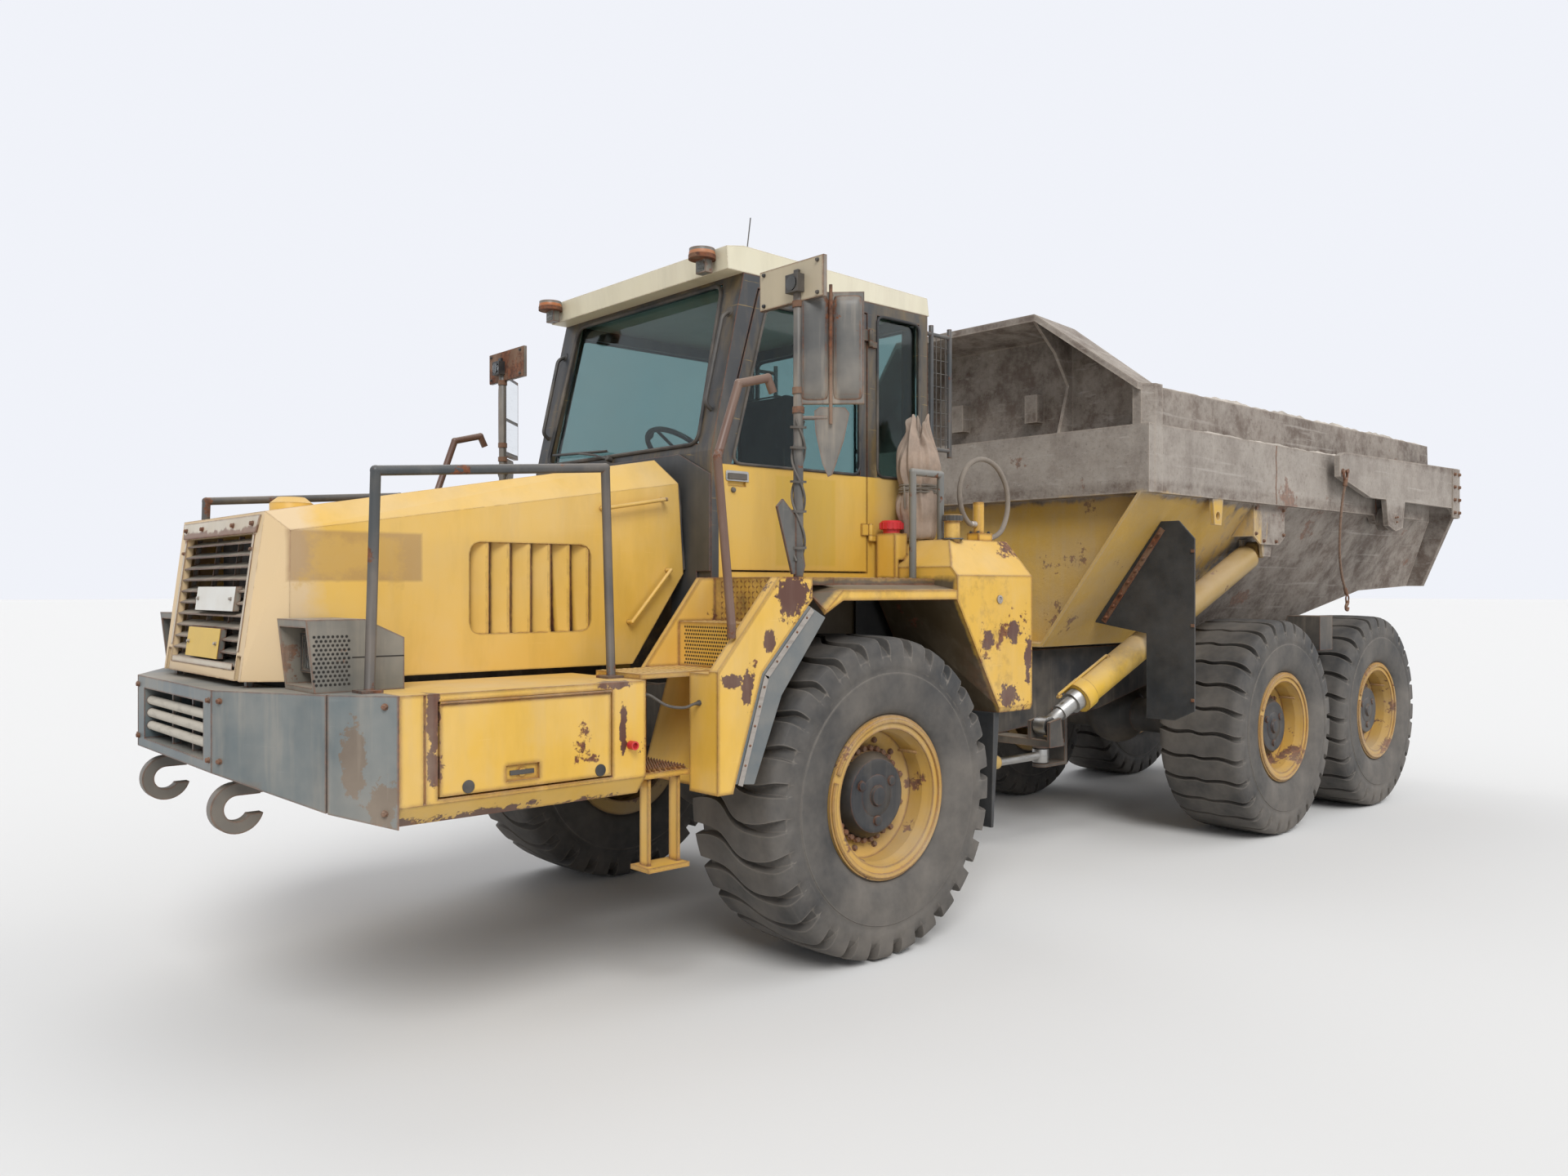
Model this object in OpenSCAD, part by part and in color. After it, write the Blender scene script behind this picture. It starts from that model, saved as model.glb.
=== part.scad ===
// Articulated dump truck, body down, standing straight.
// X points forward, Y to the left and Z up from the ground. The origin is on the ground below
// the middle of the overall length. Places along the machine are measured from the front axle.

/* [Layout] */
// Length from the bumper's face to the tail of the gate
overall_len = 10320; // [10100:10:10500]
// Bumper's face ahead of the front axle
front_overhang = 2740; // [2700:5:2800]
// Front axle to middle axle
wheelbase = 4130; // [4080:5:4180]
// Middle axle to rear axle
bogie_base = 1659; // [1640:1:1690]
// Steering hitch behind the front axle
hitch_back = 1400; // [1380:5:1420]

/* [Wheels] */
// Tyre radius to the tips of the lugs
tyre_r = 765; // [755:1:772]
// Widest part of a tyre
tyre_w = 600; // [580:5:610]
// Middle of a wheel out from the centreline
wheel_y = 1075; // [1070:1:1085]
// Lugs round one tyre
lug_count = 28; // [24:1:32]
// Depth of the grooves between lugs
lug_depth = 40; // [25:1:50]
// Outer radius of the rim's flanges
rim_r = 388; // [380:1:392]
// Radius of the rim's bed, where the tyre sits
rim_bed_r = 325; // [318:1:330]
// Radius of the spindle that carries a wheel
spindle_r = 110; // [100:1:120]

/* [Frames] */
// Outer side of the front frame's rails from the centreline
front_rail_y = 400; // [380:5:420]
// Plate thickness of rails and heavy brackets
rail_t = 30; // [20:1:40]
// Underside of the front rails
front_rail_z = 980; // [970:5:1000]
// Height of the front rails
front_rail_h = 300; // [260:5:320]
// Outer side of the rear frame's rails from the centreline
rear_rail_y = 360; // [340:5:380]
// Top of the rear frame, where the body rests
rear_top_z = 1330; // [1310:5:1345]
// Radius of the steering hitch's pin
hitch_pin_r = 60; // [50:1:70]

/* [Bumper and side boxes] */
// Half the width of the bumper's middle section
bumper_mid_y = 520; // [500:5:540]
// Outer face of the side boxes from the centreline
box_y = 1200; // [1180:5:1210]
// Top of the bumper and of the side boxes
box_top_z = 1378; // [1360:2:1390]
// Underside of the bumper's middle section
bumper_low_z = 1074; // [1050:2:1100]
// Underside of the bumper's ends and of the side boxes
box_low_z = 913; // [900:1:930]
// Round bars across the bumper's slot
bumper_bars = 3; // [2:1:4]

/* [Hood] */
// Half the width of the hood
hood_y = 620; // [600:5:630]
// Half the width of the hood's flat top
hood_top_y = 523; // [500:1:540]
// Underside of the hood
hood_low_z = 1402; // [1396:1:1410]
// Top of the hood at the front
hood_front_z = 2042; // [2020:2:2060]
// Top of the hood at the rear
hood_rear_z = 2365; // [2340:5:2380]
// Thickness of the hood's skin
hood_t = 25; // [15:1:35]
// Bars in the front grille
grille_bars = 11; // [8:1:13]
// Angled slats in each side louvre
louvre_slats = 6; // [4:1:8]

/* [Cab] */
// Half the width of the cab
cab_y = 800; // [780:5:810]
// Underside of the cab door
cab_floor_z = 1830; // [1820:2:1840]
// Lower edge of the cab windows
cab_sill_z = 2345; // [2330:5:2360]
// Top of the roof
cab_top_z = 3400; // [3390:5:3410]
// Depth of the roof above the cab's walls
roof_h = 130; // [110:5:150]
// Rear of the cab from the front axle, rearwards
cab_rear = 910; // [890:5:920]
// Thickness of the cab's walls and door
wall_t = 50; // [40:1:60]
// Thickness of the cab glass
glass_t = 8; // [6:1:10]

/* [Dump body] */
// Half the width of the body's side plates
body_y = 1200; // [1180:5:1210]
// Outer face of the side rails from the centreline
body_rail_y = 1255; // [1245:1:1265]
// Underside of the side rails
body_rail_z = 2350; // [2340:5:2360]
// Height of the side rails
body_rail_h = 430; // [400:5:450]
// Top of the side plates
body_top_z = 3030; // [3000:5:3060]
// Top of the headboard's middle
headboard_z = 3520; // [3480:5:3540]
// Thickness of the body's plates
body_t = 25; // [16:1:30]
// Front face of the body from the front axle, rearwards
body_front = 2470; // [2450:5:2490]
// Gate's outer face behind the tail of the body's floor
tail_gap = 180; // [160:5:230]
// Hinge of the body from the front axle, rearwards
body_hinge_back = 6100; // [6080:5:6120]

/* [Hidden] */
$fn = 48;

// Small gap between pieces that sit on each other, and room round pieces that move
seat = 0.3;
clear = 8;

front_axle_x = overall_len / 2 - front_overhang;
tail_x = front_overhang - overall_len;
mid_x = -wheelbase;
rear_x = -wheelbase - bogie_base;
bogie_x = (mid_x + rear_x) / 2;
hitch_x = -hitch_back;
axle_z = tyre_r;
cab_eave_z = cab_top_z - roof_h;
body_tail = overall_len - front_overhang - tail_gap;

yellow = [0.86, 0.67, 0.20];
dark = [0.20, 0.21, 0.22];
grey = [0.42, 0.46, 0.48];
steel = [0.62, 0.62, 0.60];
weathered = [0.52, 0.47, 0.42];
cream = [0.86, 0.84, 0.70];
rust = [0.42, 0.26, 0.19];
glassy = [0.45, 0.60, 0.62, 0.35];
rubber = [0.12, 0.12, 0.13];

// Helpers

// Moves a piece from the front axle to its place in the part
module from_axle() { translate([front_axle_x, 0, 0]) children(); }

// Draws a piece and its mirror image across the centreline
module both_sides() {
  children();
  mirror([0, 1, 0]) children();
}

// Draws a piece on the left for 1 and on the right for -1
module on_side(side) { scale([1, side, 1]) children(); }

// Plate in the XZ plane, from y outwards by t
module side_plate(points, y, t) {
  translate([0, y + t, 0]) rotate([90, 0, 0]) linear_extrude(t) polygon(points);
}

// Plate in the YZ plane, from x forwards by t
module cross_plate(points, x, t) {
  translate([x, 0, 0]) rotate([90, 0, 90]) linear_extrude(t) polygon(points);
}

// Plate in the XY plane, from z upwards by t
module deck_plate(points, z, t) { translate([0, 0, z]) linear_extrude(t) polygon(points); }

// Box between two opposite corners
module block(low, high) { translate(low) cube(high - low); }

// Convex solid round a set of corners
module convex(points) {
  hull() polyhedron(points, [for (i = [0 : len(points) - 3]) [i, i + 1, i + 2]]);
}

// Round bar between two points
module bar(a, b, r) {
  run = b - a;
  span = norm(run);
  translate(a) rotate([0, acos(run.z / span), atan2(run.y, run.x)]) cylinder(r = r, h = span);
}

// Round tube through a list of points, with round corners
module pipe(path, r) {
  $fn = 24;
  for (i = [0 : len(path) - 2]) bar(path[i], path[i + 1], r);
  for (i = [1 : len(path) - 2]) translate(path[i]) sphere(r = 1.06 * r);
}

// Round bar along Y, centred on y
module cross_bar(x, y, z, r, h) { translate([x, y, z]) rotate([90, 0, 0]) cylinder(r = r, h = h,
  center = true); }

// Wheels

bead_w = 0.8 * tyre_w;
bead_r = rim_bed_r + seat;
bulge_r = 0.72 * tyre_r;
tread_w = 0.93 * tyre_w;
lug_pitch = 360 / lug_count;

// One side of a tyre as radius, distance from the middle and place in the pitch:
// bead, flange seat, sidewall, then the foot and tip of a lug on each of its sides
function tyre_side(side) = [
  [bead_r / cos(lug_pitch / 2) , side * bead_w / 2, 0],
  [rim_r + 14, side * bead_w / 2, 0],
  [bulge_r, side * tyre_w / 2, 0],
  [tyre_r - lug_depth, side * tread_w / 2, -0.36],
  [tyre_r, side * tread_w / 2, -0.29],
  [tyre_r, side * tread_w / 2, 0.29],
  [tyre_r - lug_depth, side * tread_w / 2, 0.36]
];
side_n = 7;
ring_n = 2 * side_n;

function tyre_points() = [
  for (i = [0 : lug_count - 1], side = [-1, 1], p = tyre_side(side))
    [p[0] * sin((i + p[2]) * lug_pitch), p[1], p[0] * cos((i + p[2]) * lug_pitch)]
];

// Point k on a side of pitch i
function tp(i, side, k) = (i % lug_count) * ring_n + (side > 0 ? side_n : 0) + k;

// Faces of one pitch of a tyre, given for the left side and turned over for the right
function tyre_wall(i, s) = [
  [tp(i, s, 0), tp(i + 1, s, 0), tp(i + 1, s, 1), tp(i, s, 1)],
  [tp(i, s, 1), tp(i + 1, s, 1), tp(i + 1, s, 2), tp(i, s, 2)],
  [tp(i, s, 2), tp(i, s, 4), tp(i, s, 3)],
  [tp(i, s, 2), tp(i, s, 5), tp(i, s, 4)],
  [tp(i, s, 2), tp(i, s, 6), tp(i, s, 5)],
  [tp(i, s, 2), tp(i + 1, s, 2), tp(i, s, 6)],
  [tp(i + 1, s, 2), tp(i + 1, s, 3), tp(i, s, 6)]
];
function tread(i) = [
  [tp(i, -1, 3), tp(i, -1, 4), tp(i, 1, 4), tp(i, 1, 3)],
  [tp(i, -1, 4), tp(i, -1, 5), tp(i, 1, 5), tp(i, 1, 4)],
  [tp(i, -1, 5), tp(i, -1, 6), tp(i, 1, 6), tp(i, 1, 5)],
  [tp(i, -1, 6), tp(i + 1, -1, 3), tp(i + 1, 1, 3), tp(i, 1, 6)],
  [tp(i, -1, 0), tp(i, 1, 0), tp(i + 1, 1, 0), tp(i + 1, -1, 0)]
];
function turned(faces) = [for (f = faces) [for (k = [len(f) - 1 : -1 : 0]) f[k]]];
function tyre_faces() = [
  for (i = [0 : lug_count - 1])
    each concat(turned(tyre_wall(i, 1)), tyre_wall(i, -1), tread(i))
];

module tyre(x, side) {
  color(rubber) translate([x, side * wheel_y, axle_z]) polyhedron(tyre_points(), turned(tyre_faces()), 4);
}

// Rim with its flanges, dished disc, hub and the bolts' ring
rim_w = 538;
rim_flange_t = 22;
rim_wall = 18;
disc_y = 95;
hub_r = 205;
hub_out = 190;
hub_in = -150;
function rim_profile() = [
  [rim_bed_r - rim_wall, -rim_w / 2],
  [rim_r, -rim_w / 2],
  [rim_r, -rim_w / 2 + rim_flange_t],
  [rim_bed_r, -rim_w / 2 + rim_flange_t],
  [rim_bed_r, rim_w / 2 - rim_flange_t],
  [rim_r, rim_w / 2 - rim_flange_t],
  [rim_r, rim_w / 2],
  [rim_bed_r - 2, rim_w / 2],
  [rim_bed_r - rim_wall, rim_w / 2 - 60],
  [rim_bed_r - rim_wall, disc_y + 30],
  [hub_r + 28, disc_y],
  [hub_r, disc_y],
  [hub_r, hub_out - 45],
  [hub_r - 30, hub_out],
  [0, hub_out],
  [0, hub_out - 30],
  [spindle_r + seat, hub_out - 30],
  [spindle_r + seat, hub_in],
  [hub_r - 40, hub_in],
  [hub_r, hub_in + 60],
  [hub_r, disc_y - 30],
  [rim_bed_r - rim_wall, disc_y]
];

module rim(x, side) {
  color(yellow) translate([x, side * wheel_y, axle_z])
    rotate([-90 * side, 0, 0]) rotate_extrude() polygon(rim_profile());
}

// Spindle and housing of an axle, with its differential's bulb
housing_r = 130;
bulb_r = 235;
knuckle_y = wheel_y + hub_in - 40;
module axle(x) {
  both_sides() {
    translate([x, 0, axle_z]) rotate([-90, 0, 0]) {
      cylinder(r = housing_r, h = knuckle_y);
      translate([0, 0, knuckle_y - 70]) cylinder(r = hub_r, h = 70);
      cylinder(r = spindle_r, h = wheel_y + hub_out - 30 - seat);
    }
  }
  translate([x, 0, axle_z]) sphere(r = bulb_r);
}

// Front frame

neck_front = -620;
pivot_r = 170;
clevis_low_z = 730;
clevis_t = 50;
clevis_gap = 350;
tongue_gap = 10;
clevis_top_z = clevis_low_z + 2 * clevis_t + clevis_gap;
rail_front = front_overhang - 250;
strut_r = 62;
strut_y = front_rail_y - 80;

// Steering cylinder's pins from the hitch: front pin, rear pin and height
steer_front = [225, 390];
steer_back = [-1128, 410];
steer_z = 620;
steer_eye_r = 55;
steer_pin_r = 25;
steer_eye_h = 90;
ear_t = 22;

module steer_ears(x, y, root_x, with_pin) {
  for (z = [steer_z - steer_eye_h / 2 - clear - ear_t, steer_z + steer_eye_h / 2 + clear])
    translate([0, 0, z]) linear_extrude(ear_t) difference() {
      union() {
        translate([x, y]) circle(r = steer_eye_r);
        polygon([[x, y - steer_eye_r], [x, y + steer_eye_r], [root_x, y + steer_eye_r],
          [root_x, y - steer_eye_r]]);
      }
    }
  if (with_pin) translate([x, y, steer_z]) cylinder(r = steer_pin_r,
    h = steer_eye_h + 2 * clear + 2 * ear_t, center = true);
}

module front_frame() {
  color(dark) from_axle() {
    both_sides() {
      side_plate([[neck_front, front_rail_z], [rail_front, front_rail_z],
        [rail_front, front_rail_z + front_rail_h],
        [neck_front, front_rail_z + front_rail_h]], front_rail_y - rail_t, rail_t);
      // Cheek that brings the rail in to the hitch
      deck_plate([[neck_front, front_rail_y], [neck_front, front_rail_y - 2 * rail_t],
        [hitch_x + pivot_r + 120, 110], [hitch_x + pivot_r + 120, 160]],
          clevis_low_z, clevis_top_z - clevis_low_z);
      side_plate([[neck_front - 20, clevis_low_z], [neck_front + 420, front_rail_z],
        [neck_front + 420, front_rail_z + rail_t],
        [neck_front - 20, front_rail_z + rail_t]], front_rail_y - rail_t, rail_t);
      // Bracket of the steering cylinder
      translate([hitch_x, 0, 0]) steer_ears(steer_front[0], steer_front[1], 640, true);
      translate([hitch_x, 0, 0]) block(
        [640, steer_front[1] - steer_eye_r, steer_z - steer_eye_h / 2 - clear - ear_t],
        [640 + rail_t, steer_front[1] + steer_eye_r, clevis_low_z + 120]);
    }
    for (x = [rail_front - rail_t, 1450, 620, neck_front])
      block([x, -front_rail_y + rail_t, front_rail_z], [x + rail_t, front_rail_y - rail_t,
        front_rail_z + front_rail_h]);
    block([hitch_x + pivot_r + 20, -150, clevis_low_z], [hitch_x + pivot_r + 130, 150, clevis_top_z]);
    for (z = [clevis_low_z, clevis_top_z - clevis_t])
      translate([hitch_x, 0, z]) linear_extrude(clevis_t) {
        circle(r = pivot_r);
        polygon([[0, pivot_r], [0, -pivot_r], [pivot_r + 40, -pivot_r], [pivot_r + 40, pivot_r]]);
      }
    translate([hitch_x, 0, clevis_low_z]) cylinder(r = hitch_pin_r, h = clevis_top_z - clevis_low_z + 40);
  }
}

module front_axle() {
  color(dark) from_axle() {
    axle(0);
    both_sides() translate([0, strut_y, axle_z]) cylinder(r = strut_r, h = front_rail_z - axle_z - seat);
  }
}

// Engine and radiator

module engine_block() {
  color(grey) from_axle() block([900, -330, front_rail_z + front_rail_h + seat], [2150, 330, 1950]);
}

module radiator() {
  color(dark) from_axle()
    block([2330, -430, front_rail_z + front_rail_h + seat], [2420, 430, 1960]);
}

// Bumper: plan corners of its front, with the underside's height at each
bumper_depth = 220;
bumper_plan = [[front_overhang, 0], [front_overhang, bumper_mid_y], [front_overhang - 245, 1000],
  [front_overhang - 410, box_y]];
slot_y = 415;
slot_z = [bumper_low_z + 40, box_top_z - 50];
hook_y = 476;
hook_z = 836;

module bumper_half() {
  difference() {
    deck_plate([bumper_plan[0], bumper_plan[1], bumper_plan[2], bumper_plan[3],
      [bumper_plan[3][0], bumper_plan[3][1] - 300],
      bumper_plan[1] - [bumper_depth, 0], bumper_plan[0] - [bumper_depth, 0]],
        box_low_z, box_top_z - box_low_z);
    cross_plate([[-1, box_low_z - 1], [bumper_mid_y, box_low_z - 1], [box_y + 1, box_low_z - 1],
      [bumper_mid_y, bumper_low_z],
      [-1, bumper_low_z]], front_overhang - 800, 900);
    block([front_overhang - bumper_depth + 30, -1, slot_z[0]], [front_overhang + 1, slot_y, slot_z[1]]);
    block([front_overhang - bumper_depth - 1, -1, slot_z[0]], [front_overhang, slot_y - 60, slot_z[1]]);
    // Seams between the middle, the swept panel and the end
    block([front_overhang - 12, bumper_mid_y - 9, box_low_z - 1],
      [front_overhang + 1, bumper_mid_y - 3, box_top_z + 1]);
    deck_plate([for (p = [[8.6, -12.5], [5, -5.4], [-5.7, -10.9], [-2.1, -17.9]]) bumper_plan[2] + p],
      box_low_z - 1, box_top_z - box_low_z + 2);
  }
}

// Towing hook: a shank below the bumper with a curl open to the rear
module tow_hook() {
  side_plate([[front_overhang - 90, hook_z + 190], [front_overhang - 90, hook_z + 145],
    [front_overhang - 400, hook_z + 150],
    [front_overhang - 400, bumper_low_z + 30], [front_overhang - 215, bumper_low_z + 30],
      [front_overhang - 160, hook_z + 205]], hook_y - 25, 50);
  translate([front_overhang - 96, hook_y + 25, hook_z + 95]) rotate([90, 0,
    0]) linear_extrude(50) difference() {
    circle(r = 95);
    circle(r = 48);
    translate([-100, -25]) square([100, 73]);
  }
}

module bumper() {
  color(grey) from_axle() {
    both_sides() {
      bumper_half();
      tow_hook();
      // Bracket on the end of the frame's rail, and the hood's hinge
      block([rail_front + seat, front_rail_y - rail_t, bumper_low_z + 10],
        [front_overhang - bumper_depth + 1, hook_y, front_rail_z + front_rail_h]);
      side_plate([[hood_axis[0] - 12, box_top_z - 2], [hood_axis[0] + 12, box_top_z - 2],
        [hood_axis[0] + 12, hood_axis[1] + 8],
        [hood_axis[0] - 12, hood_axis[1] + 8]], hood_ear_y, 30);
      cross_bar(hood_axis[0], hood_ear_y + 23, hood_axis[1], 8, 44);
    }
    for (i = [1 : bumper_bars]) {
      z = slot_z[0] + i * (slot_z[1] - slot_z[0]) / (bumper_bars + 1);
      translate([front_overhang - 30, 0, z]) rotate([90, 0, 0]) cylinder(r = 17, h = 2 * slot_y + 2,
        center = true);
    }
    for (y = [-slot_y / 3, slot_y / 3])
      block([front_overhang - 70, y - 8, slot_z[0] - 1], [front_overhang - 40, y + 8, slot_z[1] + 1]);
  }
}

// Side boxes between the bumper and the front wheels
box_front = front_overhang - 410 - seat;
box_rear = 1290;
box_in_y = 640;
skirt_z = box_low_z + 75;
door_x = [box_rear + 170, box_front - 150];
door_z = [1010, 1340];
door_t = 30;

module box_shell() {
  difference() {
    cross_plate([[box_in_y, box_low_z + 30], [box_y - 60, box_low_z], [box_y, skirt_z],
      [box_y, box_top_z], [box_in_y, box_top_z]],
      box_rear, box_front - box_rear);
    block([box_rear + 30, box_in_y + 30, skirt_z + 5], [box_front - 30, box_y - door_t - 6,
      box_top_z - 30]);
    block([door_x[0] - clear, box_y - 60, door_z[0] - clear],
      [door_x[1] + clear, box_y + 1, door_z[1] + clear]);
    // Seam of the front strip
    block([box_front - 96, box_y - 7, skirt_z + 4], [box_front - 90, box_y + 1, box_top_z - 6]);
  }
}

module side_boxes() {
  color(yellow) from_axle() both_sides() {
    box_shell();
    // Feet that carry the box on the frame's rail
    for (x = [box_rear + 120, box_front - 520])
      block([x, front_rail_y + seat, front_rail_z + 40], [x + 80, box_in_y, front_rail_z + 200]);
  }
}

latch_x = (door_x[0] + door_x[1]) / 2 + 30;
module side_door(side) {
  color(yellow) from_axle() on_side(side) {
    difference() {
      block([door_x[0], box_y - door_t, door_z[0]], [door_x[1], box_y, door_z[1]]);
      block([latch_x - 70, box_y - 14, door_z[0] + 25], [latch_x + 70, box_y + 1, door_z[0] + 85]);
    }
    translate([latch_x, box_y - 14, door_z[0] + 55]) rotate([-90, 0, 0]) cylinder(r = 16, h = 8);
    // Hinge barrel along the top edge, against the lip of the opening
    translate([door_x[0], box_y + 3.2, door_z[1] + 3.2]) rotate([0, 90, 0]) cylinder(r = 5,
      h = door_x[1] - door_x[0]);
  }
}

// Mudguards, steps and boxes round the front wheels
guard_y = 1350;
guard_in_y = 700;
deck_z = 1800;
rail_foot = [940, 1320, 1540];

// Front, top and rear ends of the deck over the front wheel, and the edge of its side panel
deck_x = [695, 306, -500];
stair_x = 626;
panel_y = 1290;
module mudguards() {
  color(yellow) from_axle() both_sides() {
    // Lower pod, and the side panel above it with its sloping front edge
    side_plate([[1038, 895], [1038, 1395], [800, 1395], [794, 1392], [943, 934], [955, 895]],
      1160, guard_y - 1160);
    side_plate([[1038, 1390], [1038, 1405], [deck_x[0], deck_z], [500, deck_z], [500, 1700], [524, 1676],
      [794, 1390]],
      panel_y, guard_y - panel_y);
    // Deck, its sloping lip and the lip's front facet
    block([deck_x[2], guard_in_y, deck_z - 35], [deck_x[1] + 1, 1200, deck_z]);
    block([deck_x[1], guard_in_y, deck_z - 35], [stair_x - seat, panel_y + 1, deck_z]);
    cross_plate([[1195, 1740], [1195, 1768], [guard_y, 1742], [guard_y, 1695], [1330, 1695],
      [1330, 1722]], deck_x[2], deck_x[1] - deck_x[2]);
    convex([[deck_x[1], guard_y, 1742], [deck_x[1], guard_y, 1695], [deck_x[1], 1200, 1768], [deck_x[1],
      1200, 1745],
      [430, 1250, 1731], [417, guard_y, 1650], [375, 1200, 1766], [417, 1340, 1631]]);
    // Inner wall and bulkhead of the wheel's arch, and brackets from the frame
    block([deck_x[2], guard_in_y, 1150], [481, guard_in_y + 20, deck_z - 34]);
    side_plate([[480, deck_z - 34], [500, 1690], [770, 1385], [925, 897], [955, 897], [794, 1400],
      [524, 1700], [515, deck_z - 34]],
      guard_in_y, panel_y + 2 - guard_in_y);
    for (x = [-300, 300]) block([x, front_rail_y + seat, 1150], [x + 80, guard_in_y + 1, 1230]);
  }
}

// Strips of plastic along the front wheel's arch
module arch_strips() {
  color(grey) from_axle() both_sides()
    side_plate([[523, 1675], [793, 1391], [942, 934], [836, 922], [680, 1289], [417, 1619]],
      guard_y - 16, 14);
}

rear_box_y = cab_y + 6;
rear_box_z = 1102;
module rear_boxes() {
  color(yellow) from_axle() both_sides() {
    intersection() {
      side_plate([[-855, rear_box_z], [-1125, rear_box_z], [-1125, 2005], [-640, 2005],
        [deck_x[2] - seat, 1860],
        [deck_x[2] - seat, 1690]], rear_box_y, guard_y - rear_box_y);
      cross_plate([[rear_box_y, 1000], [guard_y - 60, 1000], [guard_y, 1130], [guard_y, 1815],
        [1180, 2005], [rear_box_y, 2005]], -1200, 800);
    }
    // Small tank behind the door
    block([-561, 830, 1900], [-465, 960, 2040]);
    block([-495, 830, deck_z + seat], [-465, 960, 1901]);
    // Filler neck with its cap, and the post with the hoses
    translate([-690, 1162, 1990]) cylinder(r = 38, h = 112);
    translate([-690, 1162, 2100]) cylinder(r = 50, h = 34);
    translate([-1009, 1080, 1990]) cylinder(r = 30, h = 230);
    block([-1080, 1040, 2000], [-960, 1120, 2050]);
    // Bracket from the frame's rail
    deck_plate([[-560, front_rail_y + seat], [-560, 500], [-850, rear_box_y + 5],
      [-1050, rear_box_y + 5], [-690, front_rail_y + seat]], 1180, 60);
  }
}

module front_flaps() {
  color(rubber) from_axle() both_sides()
    side_plate([[-852, rear_box_z - seat], [-900, rear_box_z - seat], [-850, 500], [-832, 500]],
      rear_box_y, 500);
}

stair_z = 1600;
stair_in_y = 830;
module access_steps() {
  color(yellow) from_axle() both_sides() {
    // Serrated step between the side box and the mudguard's pod, and the well's inner wall
    block([1038 + seat, 820, 965], [box_rear - seat, 1160 - seat, 990]);
    block([1038 + seat, 820, 965], [box_rear - seat, 850, box_top_z + 1]);
    for (x = [1052 : 26 : 1272]) block([x, 849, 989], [x + 6, 1154, 1002]);
    // Ledge, riser, tread and second riser up to the deck
    block([835, stair_in_y, box_top_z], [box_rear - seat, 1160 - seat, 1400]);
    block([835, stair_in_y, 1395 + seat], [845, panel_y - seat, stair_z]);
    block([stair_x, stair_in_y, stair_z - 10], [845, panel_y - seat, stair_z]);
    block([stair_x, stair_in_y, stair_z - 10], [stair_x + 10, panel_y - seat, deck_z]);
    side_plate([[835, box_top_z], [1050, box_top_z], [720, deck_z], [stair_x, deck_z],
      [stair_x, stair_z - 10], [835, stair_z - 10]], stair_in_y - 30, 31);
    // Hanging step on two links
    for (x = [1080, 1230]) block([x, 1090, 600], [x + 14, 1150, 966]);
    block([1060, 1060, 585], [1270, 1190, 605]);
  }
}

// Lamps on the bumper, and the beacons on the roof
lamp_y = [640, 930];
lamp_x = [2190, 2520];
module lamp_housing() {
  difference() {
    side_plate([[lamp_x[0], box_top_z + seat], [lamp_x[1], box_top_z + seat], [lamp_x[1] + 30, 1640],
      [lamp_x[1] - 180, 1640], [lamp_x[0], 1570]],
      lamp_y[0], lamp_y[1] - lamp_y[0]);
    side_plate([[lamp_x[0] + 200, box_top_z + 20], [lamp_x[1] + 90, box_top_z + 20],
      [lamp_x[1] + 90, 1615], [lamp_x[0] + 200, 1600]],
      lamp_y[0] + 15, lamp_y[1] - lamp_y[0] - 30);
  }
  for (y = [lamp_y[0] + 22, lamp_y[0] + 152]) difference() {
    block([lamp_x[0] + 199, y, 1440], [lamp_x[0] + 280, y + 116, 1590]);
    block([lamp_x[0] + 262, y + 10, 1450], [lamp_x[0] + 281, y + 106, 1580]);
  }
}

beacon = [603, 693, cab_eave_z + 76];
module beacon_lamp() {
  translate(beacon - [0, 0, 25]) cylinder(r = 62, h = 50);
  block([536.8, beacon.y - 20, beacon.z - 25], [beacon.x, beacon.y + 20, beacon.z - 13]);
  // Small work lamp below the bracket
  block([beacon.x - 36, beacon.y - 42, beacon.z - 88], [beacon.x + 6, beacon.y + 34, beacon.z - 24]);
}

module lamps() {
  color(grey) from_axle() both_sides() {
    lamp_housing();
    beacon_lamp();
  }
}

// Handrails: front rail, stair rail and the rail beside the filler
rail_r = 19;
front_rail_path = [[2352, 1000, box_top_z + 1], [2329, 1000, 2173], [1354, 1000, 2250],
  [1325, 1000, box_top_z + 1]];
module handrails() {
  color(grey) from_axle() both_sides() {
    pipe(front_rail_path, rail_r);
    for (p = [front_rail_path[0], front_rail_path[3]])
      block([p.x - 33, p.y - 45, box_top_z + seat], [p.x + 45, p.y + 45, box_top_z + 10]);
    // Guard behind the cab, held on its rear wall
    for (z = [2540, 3190]) bar([-cab_rear - seat, 750, z], [-1160, 750, z], 12);
    for (x = [-1000, -1160]) bar([x, 750, 2500], [x, 750, 3240], 14);
    pipe([rail_foot + [0, 0, 1], rail_foot + [0, 0, 60], [1000, 1300, 2296], [884, 1300, 2617],
      [720, 1300, 2660], [690, 1300, 2600]], rail_r);
    pipe([[-470, 1080, deck_z + seat], [-470, 1080, 2350], [-690, 1080, 2350],
      [-690, 1080, 2005 + seat]], rail_r);
  }
}

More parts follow.
